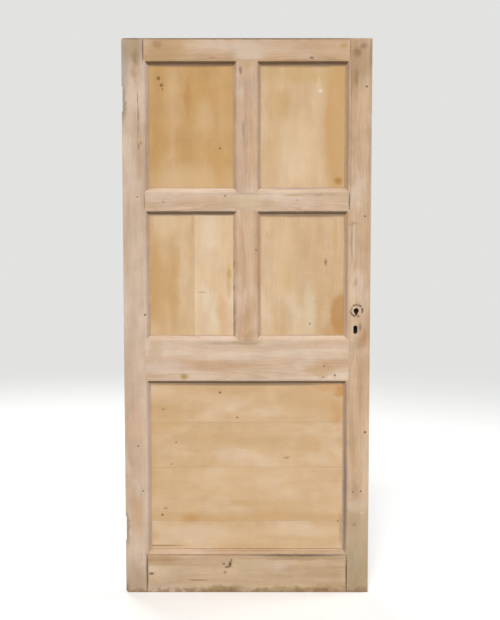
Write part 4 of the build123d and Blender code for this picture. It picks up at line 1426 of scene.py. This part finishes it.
@dataclass
class Studio:
    """A pale floor that fades into a pale ground, soft lamps, and the camera at the photographed angle."""

    camera_place: tuple[float, float, float] = (0.0111, -4.0, 1.380)
    camera_pitch: float = 4.815      # degrees below level
    focal: float = 1106.9            # in pixels of a frame 620 high
    frame_height: float = 620.0
    key_strength: float = 2.55
    key_spread: float = 24.0         # degrees
    key_azimuth: float = 9.0         # degrees to the left of square on
    key_elevation: float = 42.0
    softboxes: tuple[Softbox, ...] = (
        Softbox("fill softbox", (3.6, -5.0, 2.4), 2.6, 40.0), Softbox("rear softbox", (-2.6, 5.5, 3.6), 3.4, 210.0),
        Softbox("side softbox", (5.2, 1.3, 2.2), 2.4, 130.0))
    aim_height: float = 1.0
    fill_strength: float = 0.3       # light from all round
    floor_radius: float = 9.0
    floor_sides: int = 96
    fade_from: float = 0.6           # metres from the leaf where the floor starts to fade
    fade_to: float = 0.7             # share of the floor's radius where it is gone
    floor_colour: str = "f6f6f5"
    ground_colour: str = "e2e2e1"
    bounce_colour: str = "8c8c8c"    # what the floor throws back on the leaf
    # A black card behind the lock's holes: painted shade where the pale ground would show through.
    card_across: tuple[float, float] = (0.376, 0.411)
    card_up: tuple[float, float] = (0.945, 1.058)
    card_depth: float = 0.021        # 2 mm clear of the leaf's back
    card_colour: str = "0a0909"

    def build(self) -> None:
        """Builds the floor, lamps, world and camera."""
        self._floor()
        self._key()
        for softbox in self.softboxes:
            self._lamp(softbox)
        self._shade_card()
        self._world()
        bpy.context.scene.view_settings.view_transform = "Standard"
        self._camera()

    def _seen(self, tree: bpy.types.NodeTree) -> bpy.types.NodeSocket:
        """One for what the camera sees, straight or in gloss or glass, and nought for light on the leaf.

        Args:
            tree: the tree to add the nodes to.

        Returns:
            The socket.
        """
        path = add_node(tree, "ShaderNodeLightPath").outputs
        seen = add_node(tree, "ShaderNodeMath", {0: path["Is Camera Ray"], 1: path["Is Glossy Ray"]},
                        operation="ADD").outputs[0]
        return add_node(tree, "ShaderNodeMath", {0: seen, 1: path["Is Transmission Ray"]}, operation="ADD",
                        use_clamp=True).outputs[0]

    def _world(self) -> None:
        """Soft light from all round, which the camera sees as a pale ground."""
        world = bpy.data.worlds.new("studio")
        tree = empty_tree(world)
        seen = self._seen(tree)
        colour = add_node(tree, "ShaderNodeMix", {0: seen, 6: (1.0, 1.0, 1.0, 1.0), 7: linear(self.ground_colour)},
                          data_type="RGBA").outputs[2]
        strength = add_node(tree, "ShaderNodeMix", {0: seen, 2: self.fill_strength, 3: 1.0}).outputs[0]
        ground = add_node(tree, "ShaderNodeBackground", {"Color": colour, "Strength": strength})
        add_node(tree, "ShaderNodeOutputWorld", {"Surface": ground.outputs[0]})
        bpy.context.scene.world = world

    def _staged(self, name: str, mesh: bpy.types.Mesh, material: bpy.types.Material) -> None:
        """Puts a part of the stage in the scene, in its material.

        Args:
            name: the object's name.
            mesh: its mesh.
            material: its material.
        """
        mesh.materials.append(material)
        in_scene(name, mesh)

    def _floor(self) -> None:
        """A round floor, pale near the leaf and gone before its edge."""
        disc = bmesh.new()
        bmesh.ops.create_circle(disc, cap_ends=True, radius=self.floor_radius, segments=self.floor_sides)
        mesh = bpy.data.meshes.new("floor")
        disc.to_mesh(mesh)
        disc.free()
        material = bpy.data.materials.new("matt painted floor")
        tree = empty_tree(material)
        coordinates = add_node(tree, "ShaderNodeTexCoord").outputs["Object"]
        reach = add_node(tree, "ShaderNodeVectorMath", {0: coordinates}, operation="LENGTH").outputs["Value"]
        gone = add_node(tree, "ShaderNodeMapRange",
                        {"Value": reach, "From Min": self.fade_from, "From Max": self.fade_to * self.floor_radius},
                        interpolation_type="SMOOTHSTEP").outputs[0]
        seen = self._seen(tree)
        faded = add_node(tree, "ShaderNodeMath", {0: gone, 1: seen}, operation="MULTIPLY").outputs[0]
        colour = add_node(tree, "ShaderNodeMix",
                          {0: seen, 6: linear(self.bounce_colour), 7: linear(self.floor_colour)},
                          data_type="RGBA").outputs[2]
        matt = add_node(tree, "ShaderNodeBsdfDiffuse", {"Color": colour}).outputs[0]
        clear = add_node(tree, "ShaderNodeBsdfTransparent").outputs[0]
        shader = add_node(tree, "ShaderNodeMixShader", {0: faded, 1: matt, 2: clear})
        add_node(tree, "ShaderNodeOutputMaterial", {"Surface": shader.outputs[0]})
        self._staged("floor", mesh, material)

    def _shade_card(self) -> None:
        """A small black card close behind the lock's holes, clear from the back: painted shade, so that they read as
        dark.
        """
        mesh = bpy.data.meshes.new("shade_card")
        (left, right), (low, high) = self.card_across, self.card_up
        corners = [(left, low), (right, low), (right, high), (left, high)]
        mesh.from_pydata([(x, self.card_depth, z) for x, z in corners], [], [(0, 1, 2, 3)])
        material = bpy.data.materials.new("black card")
        tree = empty_tree(material)
        behind = add_node(tree, "ShaderNodeNewGeometry").outputs["Backfacing"]
        black = add_node(tree, "ShaderNodeBsdfDiffuse", {"Color": linear(self.card_colour)}).outputs[0]
        clear = add_node(tree, "ShaderNodeBsdfTransparent").outputs[0]
        ahead = add_node(tree, "ShaderNodeMath", {0: 1.0, 1: behind}, operation="SUBTRACT").outputs[0]
        shown = add_node(tree, "ShaderNodeMath", {0: ahead, 1: self._seen(tree)}, operation="MULTIPLY").outputs[0]
        shader = add_node(tree, "ShaderNodeMixShader", {0: shown, 1: clear, 2: black})
        add_node(tree, "ShaderNodeOutputMaterial", {"Surface": shader.outputs[0]})
        self._staged("shade_card", mesh, material)

    def _key(self) -> None:
        """A far, broad lamp high on the left, so that the leaf's head and foot are lit alike."""
        light = bpy.data.lights.new("key", "SUN")
        light.energy = self.key_strength
        light.angle = math.radians(self.key_spread)
        along, up = math.radians(self.key_azimuth), math.radians(self.key_elevation)
        towards = Vector((-math.sin(along) * math.cos(up), -math.cos(along) * math.cos(up), math.sin(up)))
        in_scene("key", light).rotation_euler = towards.to_track_quat("Z", "Y").to_euler()

    def _lamp(self, softbox: Softbox) -> None:
        """A softbox, aimed at the middle of the leaf.

        Args:
            softbox: its name, place, side and power.
        """
        light = bpy.data.lights.new(softbox.name, "AREA")
        light.size = softbox.side
        light.energy = softbox.power
        lamp = in_scene(softbox.name, light)
        lamp.location = softbox.place
        aim = Vector((0, 0, self.aim_height)) - Vector(softbox.place)
        lamp.rotation_euler = aim.to_track_quat("-Z", "Y").to_euler()

    def _camera(self) -> None:
        """The camera, level but for its slight pitch, with no shift."""
        lens = bpy.data.cameras.new("camera")
        lens.sensor_fit = "VERTICAL"
        lens.lens = self.focal / self.frame_height * lens.sensor_height
        camera = in_scene("camera", lens)
        camera.location = self.camera_place
        camera.rotation_euler = Euler((math.radians(90 - self.camera_pitch), 0, 0))
        bpy.context.scene.camera = camera


def main() -> None:
    """Builds the leaf, its lock and the studio."""
    logging.basicConfig(level=logging.INFO, format="%(message)s")
    Leaf().build()
    Lock().build()
    Studio().build()


if __name__ == "__main__":
    main()
